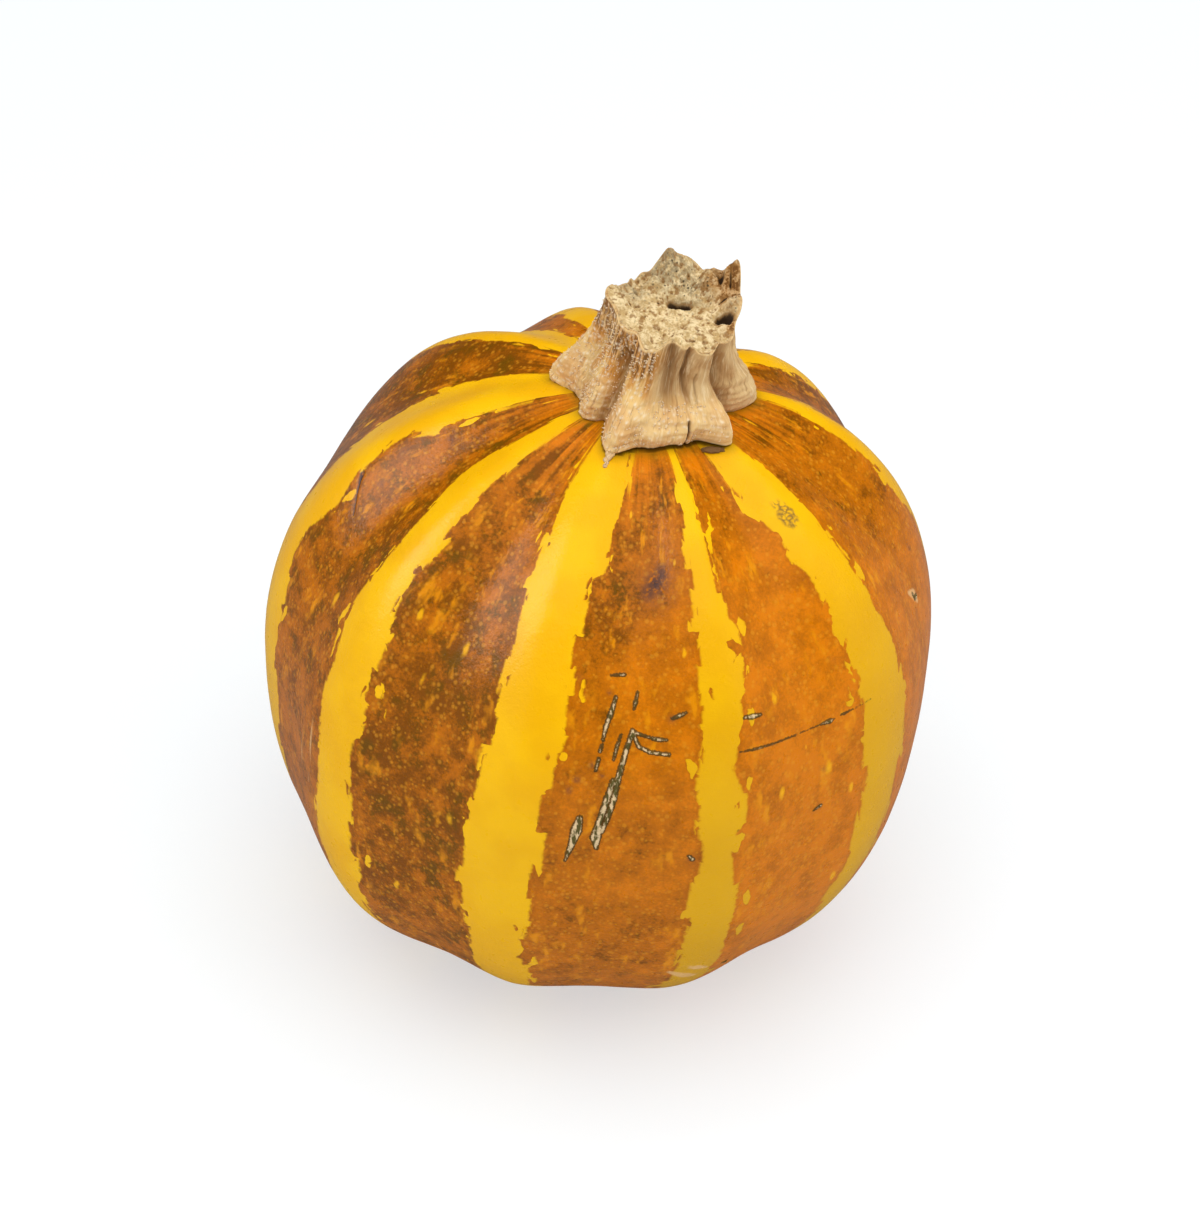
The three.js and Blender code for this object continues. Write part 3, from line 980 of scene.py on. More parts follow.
def makeFruit():
    bm = bmesh.new()
    bmesh.ops.create_uvsphere(bm, u_segments=fruit["columns"], v_segments=fruit["rows"], radius=1)
    refineSkin(bm)
    layers = {name: bm.verts.layers.float.new(name) for name in skinTraits}
    pattern = bm.verts.layers.float_vector.new("skinPattern")
    scars = placeStrokes(corkScars)
    pales = placeStrokes(paleStreaks)
    scored = placeStrokes(scratches)
    heart = Vector((0, 0, fruit["footDepth"]))
    lowest, highest = [Vector(corner) / millimetre for corner in cadBox]
    least, lumps, scale = fruit["corkLumps"]
    for vert in bm.verts:
        tilt, angle = tiltAndAngle(vert.co)
        point = skinPoint(tilt, angle)
        outward = (point - heart).normalized()
        along = Vector((0, 0, math.radians(tilt) * fruit["patternRadius"]))
        vert[pattern] = onCircle(fruit["patternRadius"], angle) + along
        vert[layers["stripe"]], vert[layers["dullAndShade"]] = stripeDepth(tilt, angle)
        vert[layers["shade"]] = skinShade(tilt, angle)
        vert[layers["pale"]] = deepest(point, pales)
        vert[layers["paintedStemShadow"]] = stemShadow(point) if tilt < fruit["shadowTilt"] else 0
        cork = deepest(point, scars)
        cut = smoothStep(deepest(point, scored), *fruit["scratchEdge"])
        strand = netStrand(point, outward, tilt, angle)
        vert[layers["stain"]] = max(stainAt(point), cut, netScab["dark"] * strand)
        rise = fruit["corkRise"] * smoothStep(cork, *fruit["corkEdge"])
        rise *= least + lumps * noise.noise(point * scale)
        rise += netScab["rise"] * strand - fruit["scratchDepth"] * cut
        if tilt > fruit["footTilt"]:
            footRise, inScar = footRelief(point)
            rise += footRise
            cork = max(cork, inScar)
        vert[layers["cork"]] = clamp(cork, -1, 2)
        wave = noise.fractal(vert[pattern] * fruit["waveScale"], 1.0, 2.0, fruit["waveOctaves"])
        calm = smoothStep(tilt, *fruit["calmCrown"]) * smoothStep(tilt, *fruit["calmFoot"])
        rise += fruit["unevenness"] * wave * calm
        point += outward * rise
        vert.co = [clamp(value, low, high) for value, low, high in zip(point, lowest, highest)]
    return finishPiece(bm, "pumpkin_skin", makeSkinMaterial(), "rind", "fruit")


# the stem
stem = {
    "foot": (10.9, -1.2),
    "lean": (3.8, -1.6),
    "rise": 18.7,
    "footCore": 12.6,
    "neckCore": 9.2,
    "flareReach": 0.47,
    "flarePower": 2.2,
    "skirtReach": 0.45,  # the front of the foot is a thick, steep skirt
    "skirtPower": 3.6,
    "skirtMiddle": 283,
    "skirtSides": (48, 28),
    "lip": 0.45,  # how far the foot's lower edge rounds inwards
    "lipShare": 0.07,
    "faceTilt": (-0.13, 0.2),
    "faceHollow": 1.4,
    "faceRoughness": 0.35,
    "faceLumps": (4.8, 5.7),
    "tearStart": 0.55,
    "tearFull": 0.88,
    "sink": 0.35,  # the foot is grown onto the skin
    "frontGap": 0.55,  # and lifts off it in front
    "gapSides": (40, 25),
    "gapSpan": (0.75, 1.0),
    "topClearance": 0.02,
    "columns": 480,
    "rows": 180,
    "faceShare": 0.34,
    "underShare": 0.05,
    "footCrowding": 1.1,  # above 1 the rows lie closer near the foot
    "grainRadius": 13,
}

# Ridges: direction at the foot and at the face, spread at the foot, bulge at the neck, half width
ridges = [
    (5, -26, 6.2, 1.9, 18),
    (42, 26, 4.2, 3.3, 15),
    (15, 3, 0.0, 2.1, 12),
    (84, 66, 5.0, 1.7, 14),
    (120, 122, 4.0, 1.9, 13),
    (157, 177, 6.0, 1.9, 15),
    (210, 214, 0.9, 1.1, 12),
    (247, 247, 5.3, 2.3, 12),
    (276, 277, 3.1, -0.2, 17),
    (293, 293, 1.7, 0.0, 9),
    (316, 303, 6.6, 2.0, 12),
]

# Grooves between them: direction at some shares of the height, depth, half width, start and end
grooves = [
    {"route": [(0, 190), (0.22, 193), (0.46, 186), (1, 184)], "depth": 0.4, "width": 7, "span": (-0.2, 0.95)},
    {"route": [(0, 225), (0.4, 230), (0.6, 227), (1, 230)], "depth": 2.0, "width": 6.5, "span": (-0.2, 0.8)},
    {"route": [(0.4, 276), (0.7, 275), (1, 271)], "depth": 1.3, "width": 8.5, "span": (0.36, 1.1)},
    {"route": [(0.4, 293.5), (0.7, 291), (1, 290)], "depth": 1.6, "width": 3.6, "span": (0.38, 1.05)},
    {"route": [(0, 335), (0.23, 333), (0.48, 325.5), (1, 324)], "depth": 1.9, "width": 5.5,
     "span": (-0.2, 1.0)},
    {"route": [(0.3, 320), (0.6, 317)], "depth": 0.6, "width": 1.3, "span": (0.28, 0.62)},
    {"route": [(0, 293), (0.4, 291.6)], "depth": 0.9, "width": 0.8, "span": (-0.2, 0.3)},
    {"route": [(0.45, 300), (0.8, 299)], "depth": 0.35, "width": 0.9, "span": (0.42, 0.72)},
    {"route": [(0, 20), (1, 5)], "depth": 0.9, "width": 5, "span": (-0.2, 0.8)},
    {"route": [(0, 63), (1, 45)], "depth": 1.3, "width": 6, "span": (-0.2, 0.9)},
    {"route": [(0, 102), (1, 94)], "depth": 1.2, "width": 6, "span": (-0.2, 0.95)},
    {"route": [(0, 139), (1, 149)], "depth": 1.2, "width": 6, "span": (-0.2, 0.95)},
]
grooveFade = 0.12  # share of the height over which a groove starts or ends
# the dark inside a crack is painted shade
crackWidth = 2  # a narrower groove is a crack, which is dark inside

# Torn peaks and chips of the rim: direction, rise, half width
rimTears = [
    (27, 5.6, 9), (44, 2.5, 9), (54, 1.0, 5), (7, 2.2, 9), (74, 1.4, 9), (91, 3.8, 12), (112, -1.2, 5),
    (124, -3.6, 8), (141, -1.2, 10), (178, 1.5, 17), (232, 0.6, 10), (292, -0.6, 8), (330, -0.9, 9),
]

# Pits of the broken face: place from its middle, reach across and front to back, depth
facePits = [
    (1.3, 2.2, 1.9, 0.75, 3.6), (8.9, -0.8, 1.4, 0.9, 3.8), (-0.4, -9.3, 0.8, 0.6, 1.2),
    (5.7, -9.6, 0.9, 0.7, 1.3), (8.4, 5.0, 0.5, 1.4, 1.8), (5.2, 6.8, 0.6, 0.7, 1.2),
    (-6.0, 3.0, 1.5, 0.6, 0.8), (10.0, 4.2, 0.4, 1.2, 1.4), (-1.5, 8.6, 0.5, 0.5, 1.1),
]

# Swellings of the broken face: place, reach, rise
faceSwells = [(-1.5, 7.0, 4.0, 1.7), (6.0, 5.2, 2.4, 0.9), (-6.5, -3.0, 3.0, 0.4), (3.4, -5.0, 2.8, 0.6)]

# Tints of the broken face: place, reach; mould is grey, amber is orange
faceMould = [(0.0, 8.0, 4.6), (10.4, 1.4, 1.5), (-7.0, 3.4, 2.4), (4.0, 5.0, 3.0)]
faceAmber = [(10.2, -2.6, 1.6), (9.6, 5.6, 3.0), (-0.5, 12.0, 2.0), (-0.4, -9.6, 0.9), (5.8, -9.9, 1.0)]

bristles = {
    "count": 1100,
    "seed": 11,
    "sides": 5,
    "height": (0.12, 0.42),
    "radius": (0.13, 0.21),
    "directions": (150, 312),
    "shares": (0.04, 0.93),
    "bareFrom": (258, 0.42),  # past this direction and above this share the stem is bare
    "bareGroove": 0.6,
    "rootDepth": 0.1,
    "stepAlong": 0.02,  # steps in share and direction that find which way is outwards
    "stepAround": 1,
    "leanAside": (-0.3, 0.3),
    "leanUp": (-0.1, 0.5),
    "tipShare": 0.2,
    "sunk": 0.2,
    "speck": 0.8,
}


def grooveAt(angle, share):
    total = 0
    sharpest = 0
    for groove in grooves:
        low, high = groove["span"]
        if low - grooveFade < share < high + grooveFade:
            away = turnBetween(alongKnots(groove["route"], share)[0], angle)
            cut = bell(away, groove["width"]) * smoothStep(share, low - grooveFade / 2, low + grooveFade)
            cut *= smoothStep(share, high + grooveFade / 2, high - grooveFade)
            total += cut * groove["depth"]
            sharpest = max(sharpest, cut * min(1, groove["depth"]))
    return total, sharpest


def crackAt(angle, share):  # how far inside a crack a place is
    inside = 0
    for groove in grooves:
        low, high = groove["span"]
        if groove["width"] < crackWidth and low < share < high:
            away = turnBetween(alongKnots(groove["route"], share)[0], angle)
            inside = max(inside, groove["depth"] * bell(away, groove["width"]))
    return inside


def flareAt(angle, share):
    lobed = math.exp(-(share / stem["flareReach"]) ** stem["flarePower"])
    skirt = math.exp(-(share / stem["skirtReach"]) ** stem["skirtPower"])
    inFront = smoothStep(abs(turnBetween(stem["skirtMiddle"], angle)), *stem["skirtSides"])
    return lobed + (skirt - lobed) * inFront


def stemRadius(angle, share):
    flare = flareAt(angle, share)
    radius = stem["neckCore"] + (stem["footCore"] - stem["neckCore"]) * flare
    for foot, face, spread, bulge, width in ridges:
        middle = foot + turnBetween(foot, face) * share
        radius += (bulge + (spread - bulge) * flare) * bell(turnBetween(middle, angle), width)
    radius -= stem["lip"] * clamp(1 - share / stem["lipShare"]) ** 2
    return radius - grooveAt(angle, share)[0]


def bump(spots, x, y):  # the strongest of some round spots at a place
    return max(bell(math.hypot(x - spotX, y - spotY), reach) for spotX, spotY, reach in spots)


def faceLevel(angle, share, reach):
    spot = onCircle(reach * share, angle)
    level = stem["rise"] + stem["faceTilt"][0] * spot.x + stem["faceTilt"][1] * spot.y
    level -= stem["faceHollow"] * (1 - share ** 2)
    lengthX, lengthY = stem["faceLumps"]
    lump = math.sin(2 * math.pi * spot.x / lengthX) * math.cos(2 * math.pi * spot.y / lengthY)
    level += stem["faceRoughness"] * lump
    torn = smoothStep(share, stem["tearStart"], stem["tearFull"])
    for tear, rise, width in rimTears:
        level += rise * bell(turnBetween(tear, angle), width) * torn
    for x, y, radius, rise in faceSwells:
        level += rise * bell(math.hypot(spot.x - x, spot.y - y), radius) * (1 - torn)
    return level


def pitAt(spot):
    return max(depth * bell(math.hypot((spot.x - x) / across, (spot.y - y) / along), 1)
               for x, y, across, along, depth in facePits)


footLevels = {}
rimLevels = {}


def footLevel(angle):
    if angle not in footLevels:
        edge = onCircle(stemRadius(angle, 0), angle) + Vector((*stem["foot"], 0))
        footLevels[angle] = crownLevel(edge.x, edge.y) - stem["sink"] + liftAt(angle)
    return footLevels[angle]


def liftAt(angle):
    lift = smoothStep(abs(turnBetween(stem["skirtMiddle"], angle)), *stem["gapSides"])
    return (stem["frontGap"] + stem["sink"]) * lift


def rimLevel(angle):
    if angle not in rimLevels:
        rimLevels[angle] = skinPoint(0, 0).z + faceLevel(angle, 1, stemRadius(angle, 1))
    return rimLevels[angle]


def onStem(angle, share, rise=0.0):  # a place on the stem's side
    low = footLevel(angle)
    spot = onCircle(stemRadius(angle, share) + rise, angle)
    middle = Vector(stem["foot"]) + Vector(stem["lean"]) * share
    return Vector((spot.x + middle.x, spot.y + middle.y, low + (rimLevel(angle) - low) * share))


# The crumbly, torn surface of the broken face. A span is where something starts and where it is full.
brokenFace = {
    "edge": (1.0, 0.965),  # shares of the face's radius
    "crumbSpan": (1.0, 0.95),
    "pitSpan": (1.0, 0.9),
    "crumbScale": 0.85,
    "crumbs": (0.7, 2.1, 5),
    "crumbRise": 0.21,
    "mouldRise": 0.5,
    "rimRise": 0.25,
    "holeScale": 1.25,
    "holeSize": 0.24,
    "holeDepth": 0.4,
    "holePatchScale": 0.4,
    "holePatches": (-0.3, 0.25),
    "tearMiddle": 24,  # the direction of the torn, furrowed peak
    "tearWidth": 20,
    "tearSpan": (0.55, 0.8),
    "tearAmber": 1.1,
    "furrowScale": (0.27, 1.6, 5),
    "furrowRise": 0.8,
    "furrowTop": 0.2,
    "furrowDark": 2.6,
    "furrowSpan": (0.08, 0.4),
    "hollowSpan": (0.05, 0.6),
    # how dark the painted shade gets in holes, in the hollows between crumbs and in pits
    "paintedShade": (0.75, 0.55, 1.1),  # of holes, of the hollows between crumbs, and of pits
    "pitDark": (0.4, 1.7),
}


def shapeFace(vert, layers, angle, share):
    look = brokenFace
    reach = stemRadius(angle, 1)
    spot = onCircle(reach * share, angle)
    level = skinPoint(0, 0).z + faceLevel(angle, share, reach)
    base = Vector((spot.x, spot.y, level))
    inner = smoothStep(share, *look["crumbSpan"])
    mould = bump(faceMould, spot.x, spot.y)
    crumb = noise.fractal(base * look["crumbScale"], *look["crumbs"])
    web = noise.voronoi(base * look["holeScale"])[0][0]
    patches = smoothStep(noise.noise(base * look["holePatchScale"]), *look["holePatches"])
    hole = bell(web, look["holeSize"]) * patches
    pit = pitAt(spot)
    crumble = (look["crumbRise"] + look["mouldRise"] * mould) * crumb - look["holeDepth"] * hole
    level += crumble * inner - pit * smoothStep(share, *look["pitSpan"])
    level += look["rimRise"] * crumb * (1 - inner)
    tear = bell(turnBetween(look["tearMiddle"], angle), look["tearWidth"])
    tear *= smoothStep(share, *look["tearSpan"])
    around, inwards, seed = look["furrowScale"]
    furrow = noise.noise(Vector((angle * around, share * inwards, seed)))
    level += look["furrowRise"] * tear * min(furrow, look["furrowTop"])
    # painted shade: darker in the torn peak's furrows, in the hollows between crumbs, in holes and in deep
    # pits
    pit = max(pit, look["furrowDark"] * tear * smoothStep(-furrow, *look["furrowSpan"]))
    hollow = smoothStep(-crumb, *look["hollowSpan"])
    darks = (hole, hollow, smoothStep(pit, *look["pitDark"]))
    vert[layers["pit"]] = clamp(sum(weight * dark for weight, dark in zip(look["paintedShade"], darks)))
    vert[layers["brokenFace"]] = smoothStep(share, *look["edge"])
    vert[layers["mould"]] = mould
    vert[layers["amber"]] = clamp(max(bump(faceAmber, spot.x, spot.y), look["tearAmber"] * tear))
    middle = Vector(stem["foot"]) + Vector(stem["lean"])
    return Vector((spot.x + middle.x, spot.y + middle.y, level))


# The fluted side. Scales are round the stem and up it, to a millimetre.
huskSide = {
    "wrapRadius": 14,
    "skirtSpan": (0.52, 0.38),  # shares of the height
    "bristlyMiddle": 202,
    "bristlySides": (66, 48),
    "bristlySkirt": 0.75,
    "bristlySkirtMiddle": 280,
    "bristlySkirtSides": (50, 40),
    "fibreScale": (1.7, 0.14),
    "fibreRise": 0.16,
    "fibreLostInSkirt": 0.6,
    "foldScale": (0.25, 1.1),
    "foldRise": 0.45,
    "wrinkleScale": (0.42, 0.2),
    "wrinkles": (0.9, 2.0, 4),
    "wrinkleRise": 0.38,
    "baseScale": (1.3, 1.25),  # the swollen bases that bristles stand on
    "baseSize": 0.25,
    "baseRise": 0.2,
    "baseLostInGroove": 0.8,
    "basePatchScale": 0.3,
    "basePatches": (-0.6, -0.1),
    "baseSpeck": 1.5,
    "edgeSpan": (1.0, 0.93),
    "lipPlace": 0.985,
    "lipWidth": 0.02,
    "lipRise": 0.25,
    "grooveSpan": (1.02, 0.93),
    # painted shade inside cracks, by their depth
    "crackDark": (1.4, 0.2),  # times its depth, less this
    # a painted shadow along the side's lowest edge, as shares of the height
    "shadowUnderEdge": (0.016, 0.0),
    "amberSpans": ((0.45, 0.8), (1.0, 0.94)),
    "rimWidth": 0.035,
    "skirtPale": 0.5,
}


def wrapScale(wrap, scale):
    around, along = scale
    return Vector((wrap.x * around, wrap.y * around, wrap.z * along))


def shapeSide(vert, layers, angle, share):
    look = huskSide
    point = onStem(angle, share)
    groove = grooveAt(angle, share)[1]
    wrap = onCircle(look["wrapRadius"], angle) + Vector((0, 0, point.z))
    skirt = smoothStep(share, *look["skirtSpan"])
    bristly = smoothStep(abs(turnBetween(look["bristlyMiddle"], angle)), *look["bristlySides"])
    inFront = smoothStep(abs(turnBetween(look["bristlySkirtMiddle"], angle)), *look["bristlySkirtSides"])
    bristly = max(bristly, look["bristlySkirt"] * skirt * inFront)
    fibre = noise.noise(wrapScale(wrap, look["fibreScale"]))
    fold = noise.noise(wrapScale(wrap, look["foldScale"]))
    wrinkle = noise.fractal(wrapScale(wrap, look["wrinkleScale"]), *look["wrinkles"])
    cell = noise.voronoi(wrapScale(wrap, look["baseScale"]))[0][0]
    patches = smoothStep(noise.noise(wrap * look["basePatchScale"]), *look["basePatches"])
    base = bell(cell, look["baseSize"]) * patches * bristly * (1 - look["baseLostInGroove"] * groove)
    rise = look["fibreRise"] * fibre * (1 - look["fibreLostInSkirt"] * skirt)
    rise += look["wrinkleRise"] * wrinkle + look["baseRise"] * base + look["foldRise"] * fold * skirt
    rise *= smoothStep(share, *look["edgeSpan"])
    rise += look["lipRise"] * bell(share - look["lipPlace"], look["lipWidth"])
    # painted shade inside cracks, growing with their depth
    cracked = look["crackDark"][0] * crackAt(angle, share) - look["crackDark"][1]
    amberStart, amberEnd = look["amberSpans"]
    amber = smoothStep(share, *amberStart) * smoothStep(share, *amberEnd)
    vert[layers["groove"]] = clamp(groove * smoothStep(share, *look["grooveSpan"]))
    # this mask holds painted shade inside cracks, and a painted shadow along the side's lowest edge
    vert[layers["pit"]] = clamp(max(cracked, smoothStep(share, *look["shadowUnderEdge"])))
    vert[layers["speck"]] = clamp(base * look["baseSpeck"])
    vert[layers["bristly"]] = bristly
    vert[layers["amber"]] = bristly * (1 - skirt) * amber
    vert[layers["rim"]] = max(bell(share - 1, look["rimWidth"]), look["skirtPale"] * skirt * (1 - groove))
    return point + onCircle(1, angle) * rise


def shapeUnderside(vert, layers, angle, share):
    spot = onCircle(stemRadius(angle, 0) * share, angle) + Vector((*stem["foot"], 0))
    level = crownLevel(spot.x, spot.y) - stem["sink"] + liftAt(angle) * smoothStep(share, *stem["gapSpan"])
    # painted shadow: the underside, in the gap under the stem, gets the dark groove and pit colours
    vert[layers["groove"]] = 1
    vert[layers["pit"]] = 1
    return Vector((spot.x, spot.y, level))


# Display colours of the husk's side and of the pith of the broken face
huskPaints = {
    "caramel": (238, 196, 124),
    "darkCaramel": (216, 150, 68),
    "beige": (218, 182, 128),
    "darkBeige": (186, 142, 90),
    "amber": (202, 136, 58),
    "rim": (234, 200, 142),
    "torn": (96, 58, 24),
    "groove": (140, 96, 52),
    "paleFibre": (248, 226, 180),
    "darkFibre": (150, 98, 50),
    "speck": (248, 230, 198),
    # the crack colour is laid on as painted shade inside cracks and as the painted shadow under the stem
    "crack": (62, 40, 20),
    "pith": (192, 160, 106),
    "palePith": (233, 210, 163),
    "mould": (138, 122, 92),
    "amberPith": (178, 120, 54),
    "tornPith": (104, 64, 26),
    "pithSpeck": (74, 64, 46),
    # painted shade in the broken face's hollows and pits
    "hollow": (142, 98, 46),
    "pit": (46, 30, 14),
}

# Patterns of the husk, given as the skin's are
huskLook = {
    "fibreScale": (2.4, 2.4, 0.2),
    "fibre": (1.0, 4.0, 0.65),
    "patchScale": (0.4, 0.4, 0.22),
    "patch": (1.0, 3.0),
    "caramelSpan": (0.42, 0.58),
    "beigeSpan": (0.35, 0.65),
    "amberStrength": 0.5,
    "tornSpan": (0.45, 0.85),
    "tornFibres": (0.56, 0.46, 0.0, 0.8),
    "grooveStrength": 0.75,
    "paleFibres": (0.52, 0.7, 0.0, 0.5),
    "darkFibres": (0.46, 0.32, 0.0, 0.5),
    "speckStrength": 0.85,
    "crackStrength": 0.85,
    "sponge": {"Coarse": 0.7, "Fine": 2.6},
    "pithSpan": (0.4, 0.6),
    "mould": (0.9, 3.0, 0.7),
    "mouldSpan": (0.38, 0.58, 0.1, 0.85),
    "amberSponge": (0.4, 0.62, 0.9, 0.5),
    "tornSponge": (0.52, 0.42, 0.0, 0.85),
    "specks": {"Scale": 1.5, "Size": 0.4, "Share": 0.4},
    "speckMould": (0.0, 0.6, 0.35, 0.95),
    "hollowSpan": (0.1, 0.55, 0.0, 0.75),
    "pitSpan": (0.5, 1.0, 0.0, 0.95),
    "roughness": 0.8,
    "specular": 0.2,
    "bump": (0.6, 0.0005),
}
huskTraits = ("brokenFace", "groove", "bristly", "speck", "pit", "mould", "amber", "rim")


def makeHuskMaterial():
    material, tree, surface = newMaterial("driedHusk")
    look = huskLook
    hue = {name: paint(display) for name, display in huskPaints.items()}
    grain = readPoint(tree, "grainPattern", "Vector")
    place = inMillimetres(tree)
    face, groove, bristly, speck, pit, mould, amber, rim = [readPoint(tree, trait) for trait in huskTraits]
    fibre = cloud(tree, stretch(tree, grain, look["fibreScale"]), *look["fibre"])
    patch = cloud(tree, stretch(tree, grain, look["patchScale"]), *look["patch"])
    sponge = useGroup(tree, unevenGrain, Vector=place, **look["sponge"])["Value"]
    torn = ramp(tree, amber, *look["tornSpan"])

    caramel = mixPaint(tree, ramp(tree, patch, *look["caramelSpan"]), hue["caramel"], hue["darkCaramel"])
    beige = mixPaint(tree, ramp(tree, patch, *look["beigeSpan"]), hue["beige"], hue["darkBeige"])
    side = mixPaint(tree, bristly, beige, caramel)
    side = layOn(tree, side, amber, look["amberStrength"], hue["amber"])
    side = mixPaint(tree, rim, side, hue["rim"])
    side = layOn(tree, side, torn, ramp(tree, fibre, *look["tornFibres"]), hue["torn"])
    side = layOn(tree, side, groove, look["grooveStrength"], hue["groove"])
    side = mixPaint(tree, ramp(tree, fibre, *look["paleFibres"]), side, hue["paleFibre"])
    side = mixPaint(tree, ramp(tree, fibre, *look["darkFibres"]), side, hue["darkFibre"])
    side = layOn(tree, side, speck, look["speckStrength"], hue["speck"])
    # painted shade inside cracks, and the painted shadow under the stem
    side = layOn(tree, side, pit, look["crackStrength"], hue["crack"])

    pith = mixPaint(tree, ramp(tree, sponge, *look["pithSpan"]), hue["pith"], hue["palePith"])
    grey = ramp(tree, cloud(tree, place, *look["mould"]), *look["mouldSpan"])
    pith = layOn(tree, pith, mould, grey, hue["mould"])
    pith = layOn(tree, pith, amber, ramp(tree, sponge, *look["amberSponge"]), hue["amberPith"])
    pith = layOn(tree, pith, torn, ramp(tree, sponge, *look["tornSponge"]), hue["tornPith"])
    specks = useGroup(tree, softDots, Vector=place, **look["specks"])["Mask"]
    pith = layOn(tree, pith, specks, ramp(tree, mould, *look["speckMould"]), hue["pithSpeck"])
    # painted shade in the hollows and pits of the broken face
    pith = mixPaint(tree, ramp(tree, pit, *look["hollowSpan"]), pith, hue["hollow"])
    pith = mixPaint(tree, ramp(tree, pit, *look["pitSpan"]), pith, hue["pit"])

    tree.links.new(mixPaint(tree, face, side, pith), surface.inputs["Base Color"])
    surface.inputs["Roughness"].default_value = look["roughness"]
    surface.inputs["Specular IOR Level"].default_value = look["specular"]
    bumpInto(tree, surface, mixValue(tree, face, fibre, sponge), *look["bump"])
    return material


def makeStem(husk):
    bm = bmesh.new()
    bmesh.ops.create_uvsphere(bm, u_segments=stem["columns"], v_segments=stem["rows"], radius=1)
    layers = {name: bm.verts.layers.float.new(name) for name in huskTraits}
    grain = bm.verts.layers.float_vector.new("grainPattern")
    top = cadBox[1].z / millimetre - stem["topClearance"]
    sideStart = 1 - stem["underShare"]
    for vert in bm.verts:
        tilt, angle = tiltAndAngle(vert.co)
        angle = round(angle, 3)
        way = tilt / 180  # 0 in the middle of the broken face, 1 in the middle of the underside
        if way < stem["faceShare"]:
            point = shapeFace(vert, layers, angle, way / stem["faceShare"])
        elif way < sideStart:
            share = (sideStart - way) / (sideStart - stem["faceShare"])
            point = shapeSide(vert, layers, angle, share ** stem["footCrowding"])
        else:
            point = shapeUnderside(vert, layers, angle, (1 - way) / stem["underShare"])
        vert[grain] = onCircle(stem["grainRadius"], angle) + Vector((0, 0, point.z))
        vert.co = (point.x, point.y, min(point.z, top))
    return finishPiece(bm, "dried_stem", husk, "dried_stem", "stem")


def outwardOnStem(angle, share):
    along = bristles["stepAlong"]
    around = bristles["stepAround"]
    upwards = onStem(angle, share + along) - onStem(angle, share - along)
    outward = upwards.cross(onStem(angle - around, share) - onStem(angle + around, share)).normalized()
    return outward if outward.dot(onCircle(1, angle)) > 0 else -outward


def makeBristles(husk):
    bm = bmesh.new()
    speck = bm.verts.layers.float.new("speck")
    draw = random.Random(bristles["seed"])
    bareDirection, bareShare = bristles["bareFrom"]
    for number in range(bristles["count"]):
        angle = round(draw.uniform(*bristles["directions"]), 1)
        share = draw.uniform(*bristles["shares"])
        height = draw.uniform(*bristles["height"])
        radius = draw.uniform(*bristles["radius"])
        bare = angle > bareDirection and share > bareShare
        if bare or grooveAt(angle, share)[1] > bristles["bareGroove"]:
            continue
        root = onStem(angle, share, -bristles["rootDepth"])
        outward = outwardOnStem(angle, share)
        aside = [draw.uniform(*bristles["leanAside"]) for side in range(2)]
        lean = Vector((*aside, draw.uniform(*bristles["leanUp"])))
        turned = (outward + lean).to_track_quat("Z", "Y").to_matrix().to_4x4()
        made = bmesh.ops.create_cone(
            bm,
            cap_ends=True,
            segments=bristles["sides"],
            radius1=radius,
            radius2=radius * bristles["tipShare"],
            depth=height + bristles["sunk"],
            matrix=Matrix.Translation(root + outward * height / 2) @ turned,
        )
        for vert in made["verts"]:
            vert[speck] = bristles["speck"]
    return finishPiece(bm, "stem_bristles", husk, "dried_stem")


# Scraps at the foot: a torn papery flap, and a stub of dark husk in the gap
scraps = {
    "flapRows": (14, 20),
    "flapTilts": (15.0, 19.2),
    "flapDirections": ((248.5, 256.5), (251.6, 252.4)),  # at its root and at its tip
    "flapNarrowing": 0.7,
    "flapThickness": 0.25,
    "flapLift": 0.25,
    "flapCurl": 0.7,
    "flapLeastLift": 0.1,
    "flapRagged": (1.6, (7, 2, 3)),  # how much, and the pattern's scale down, across and its seed
    "flapLumps": (0.25, (5, 4, 0)),
    "flapSpeck": (0.2, (3, 9, 7)),
    "flapGroove": (0.3, (4, 6, 2)),
    "flapRim": 0.4,
    "stubPlace": (17.4, 308.0),
    "stubSize": (1.9, 0.7, 0.5),
    "stubLumps": (0.3, 2.5),
    "stubLift": 0.2,
    "stubDark": 0.6,
    "stubFineness": 4,
}


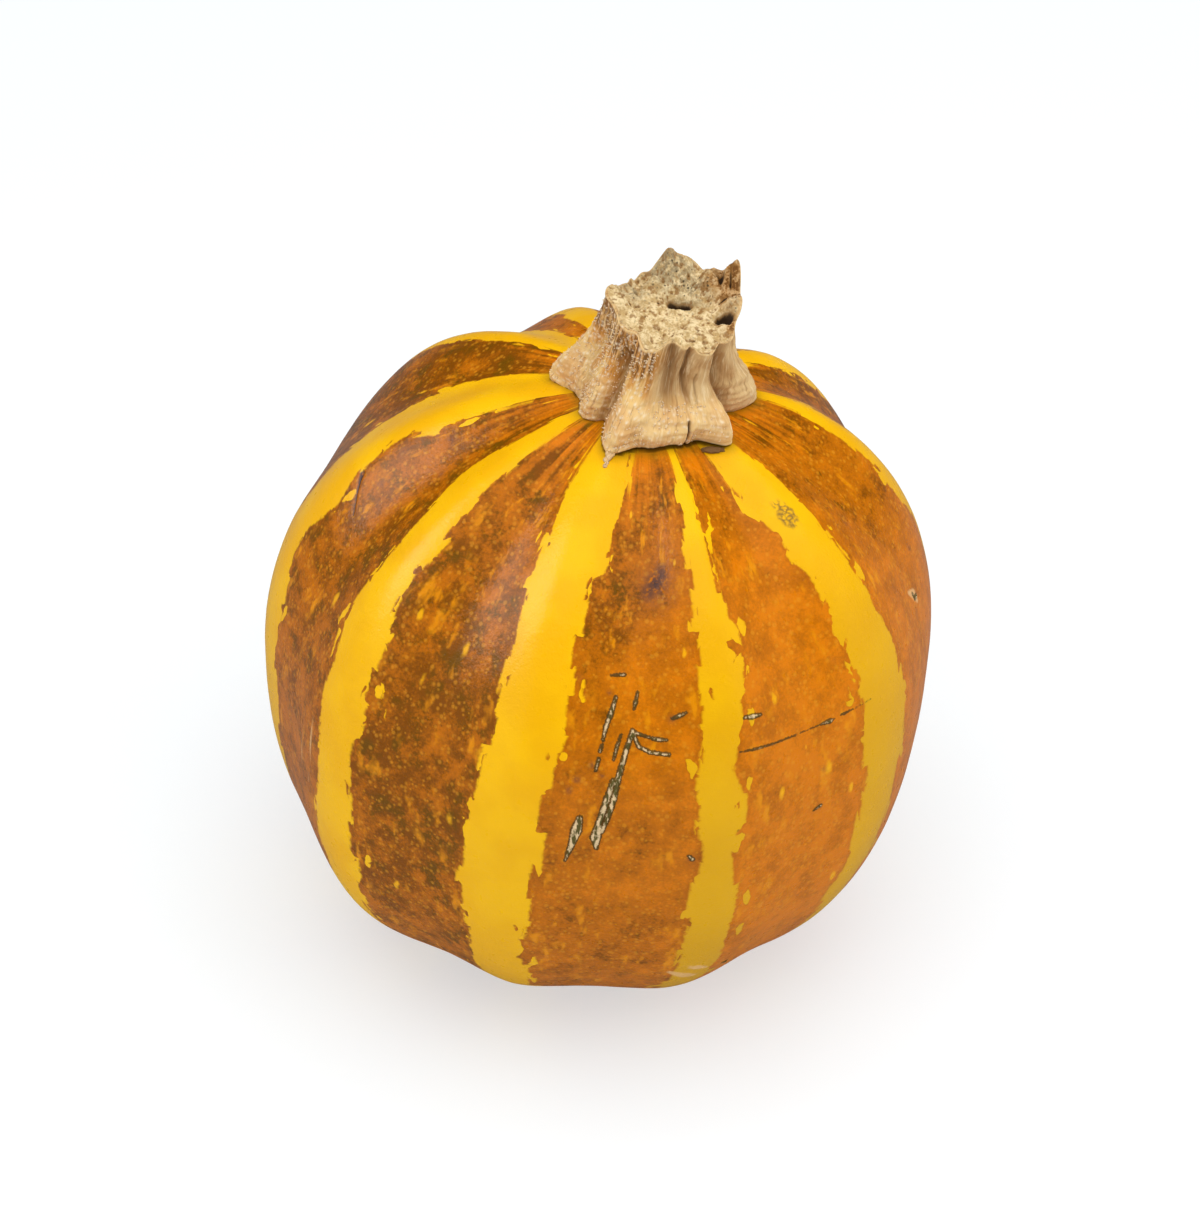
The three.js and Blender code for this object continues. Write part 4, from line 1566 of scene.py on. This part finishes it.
def makeFlap(bm, layers):
    (rootLeft, rootRight), (tipLeft, tipRight) = scraps["flapDirections"]
    low, high = scraps["flapTilts"]
    columns, rows = scraps["flapRows"]
    bmesh.ops.create_grid(bm, x_segments=columns, y_segments=rows, size=0.5)

    def uneven(side, down, scale):
        return noise.noise(Vector((side * scale[1], down * scale[0], scale[2])))

    for vert in bm.verts:
        side = vert.co.x + 0.5
        down = vert.co.y + 0.5
        narrow = down ** scraps["flapNarrowing"]
        left = rootLeft + (tipLeft - rootLeft) * narrow
        right = rootRight + (tipRight - rootRight) * narrow
        amount, (along, across, seed) = scraps["flapRagged"]
        ragged = amount * noise.noise(Vector((down * along, side * across, seed)))
        point = skinPoint(low + (high - low) * down, left + (right - left) * side + ragged)
        lumps, scale = scraps["flapLumps"]
        lift = scraps["flapLift"] + scraps["flapCurl"] * (1 - down) ** 2 + lumps * uneven(side, down, scale)
        vert[layers["rim"]] = scraps["flapRim"]
        for trait, (least, scale) in (("speck", scraps["flapSpeck"]), ("groove", scraps["flapGroove"])):
            vert[layers[trait]] = clamp(least + uneven(side, down, scale))
        vert.co = point + Vector((0, 0, max(lift, scraps["flapLeastLift"])))
    bmesh.ops.solidify(bm, geom=bm.faces[:], thickness=scraps["flapThickness"])


def makeStub(bm, layers):
    made = bmesh.ops.create_icosphere(bm, subdivisions=scraps["stubFineness"], radius=1)
    centre = skinPoint(*scraps["stubPlace"]) + Vector((0, 0, scraps["stubLift"]))
    lumps, scale = scraps["stubLumps"]
    for vert in made["verts"]:
        size = Vector(scraps["stubSize"]) * (1 + lumps * noise.noise(vert.co * scale))
        vert[layers["groove"]] = 1
        vert[layers["pit"]] = scraps["stubDark"]
        vert.co = centre + vert.co * size


def makeScraps(husk):
    bm = bmesh.new()
    layers = {name: bm.verts.layers.float.new(name) for name in ("groove", "speck", "rim", "pit")}
    makeFlap(bm, layers)
    makeStub(bm, layers)
    return finishPiece(bm, "stem_scraps", husk, "dried_stem")


placedStains = placeStains()
makeFruit()
print("fruit made")
driedHusk = makeHuskMaterial()
makeStem(driedHusk)
makeBristles(driedHusk)
makeScraps(driedHusk)
print("stem made")
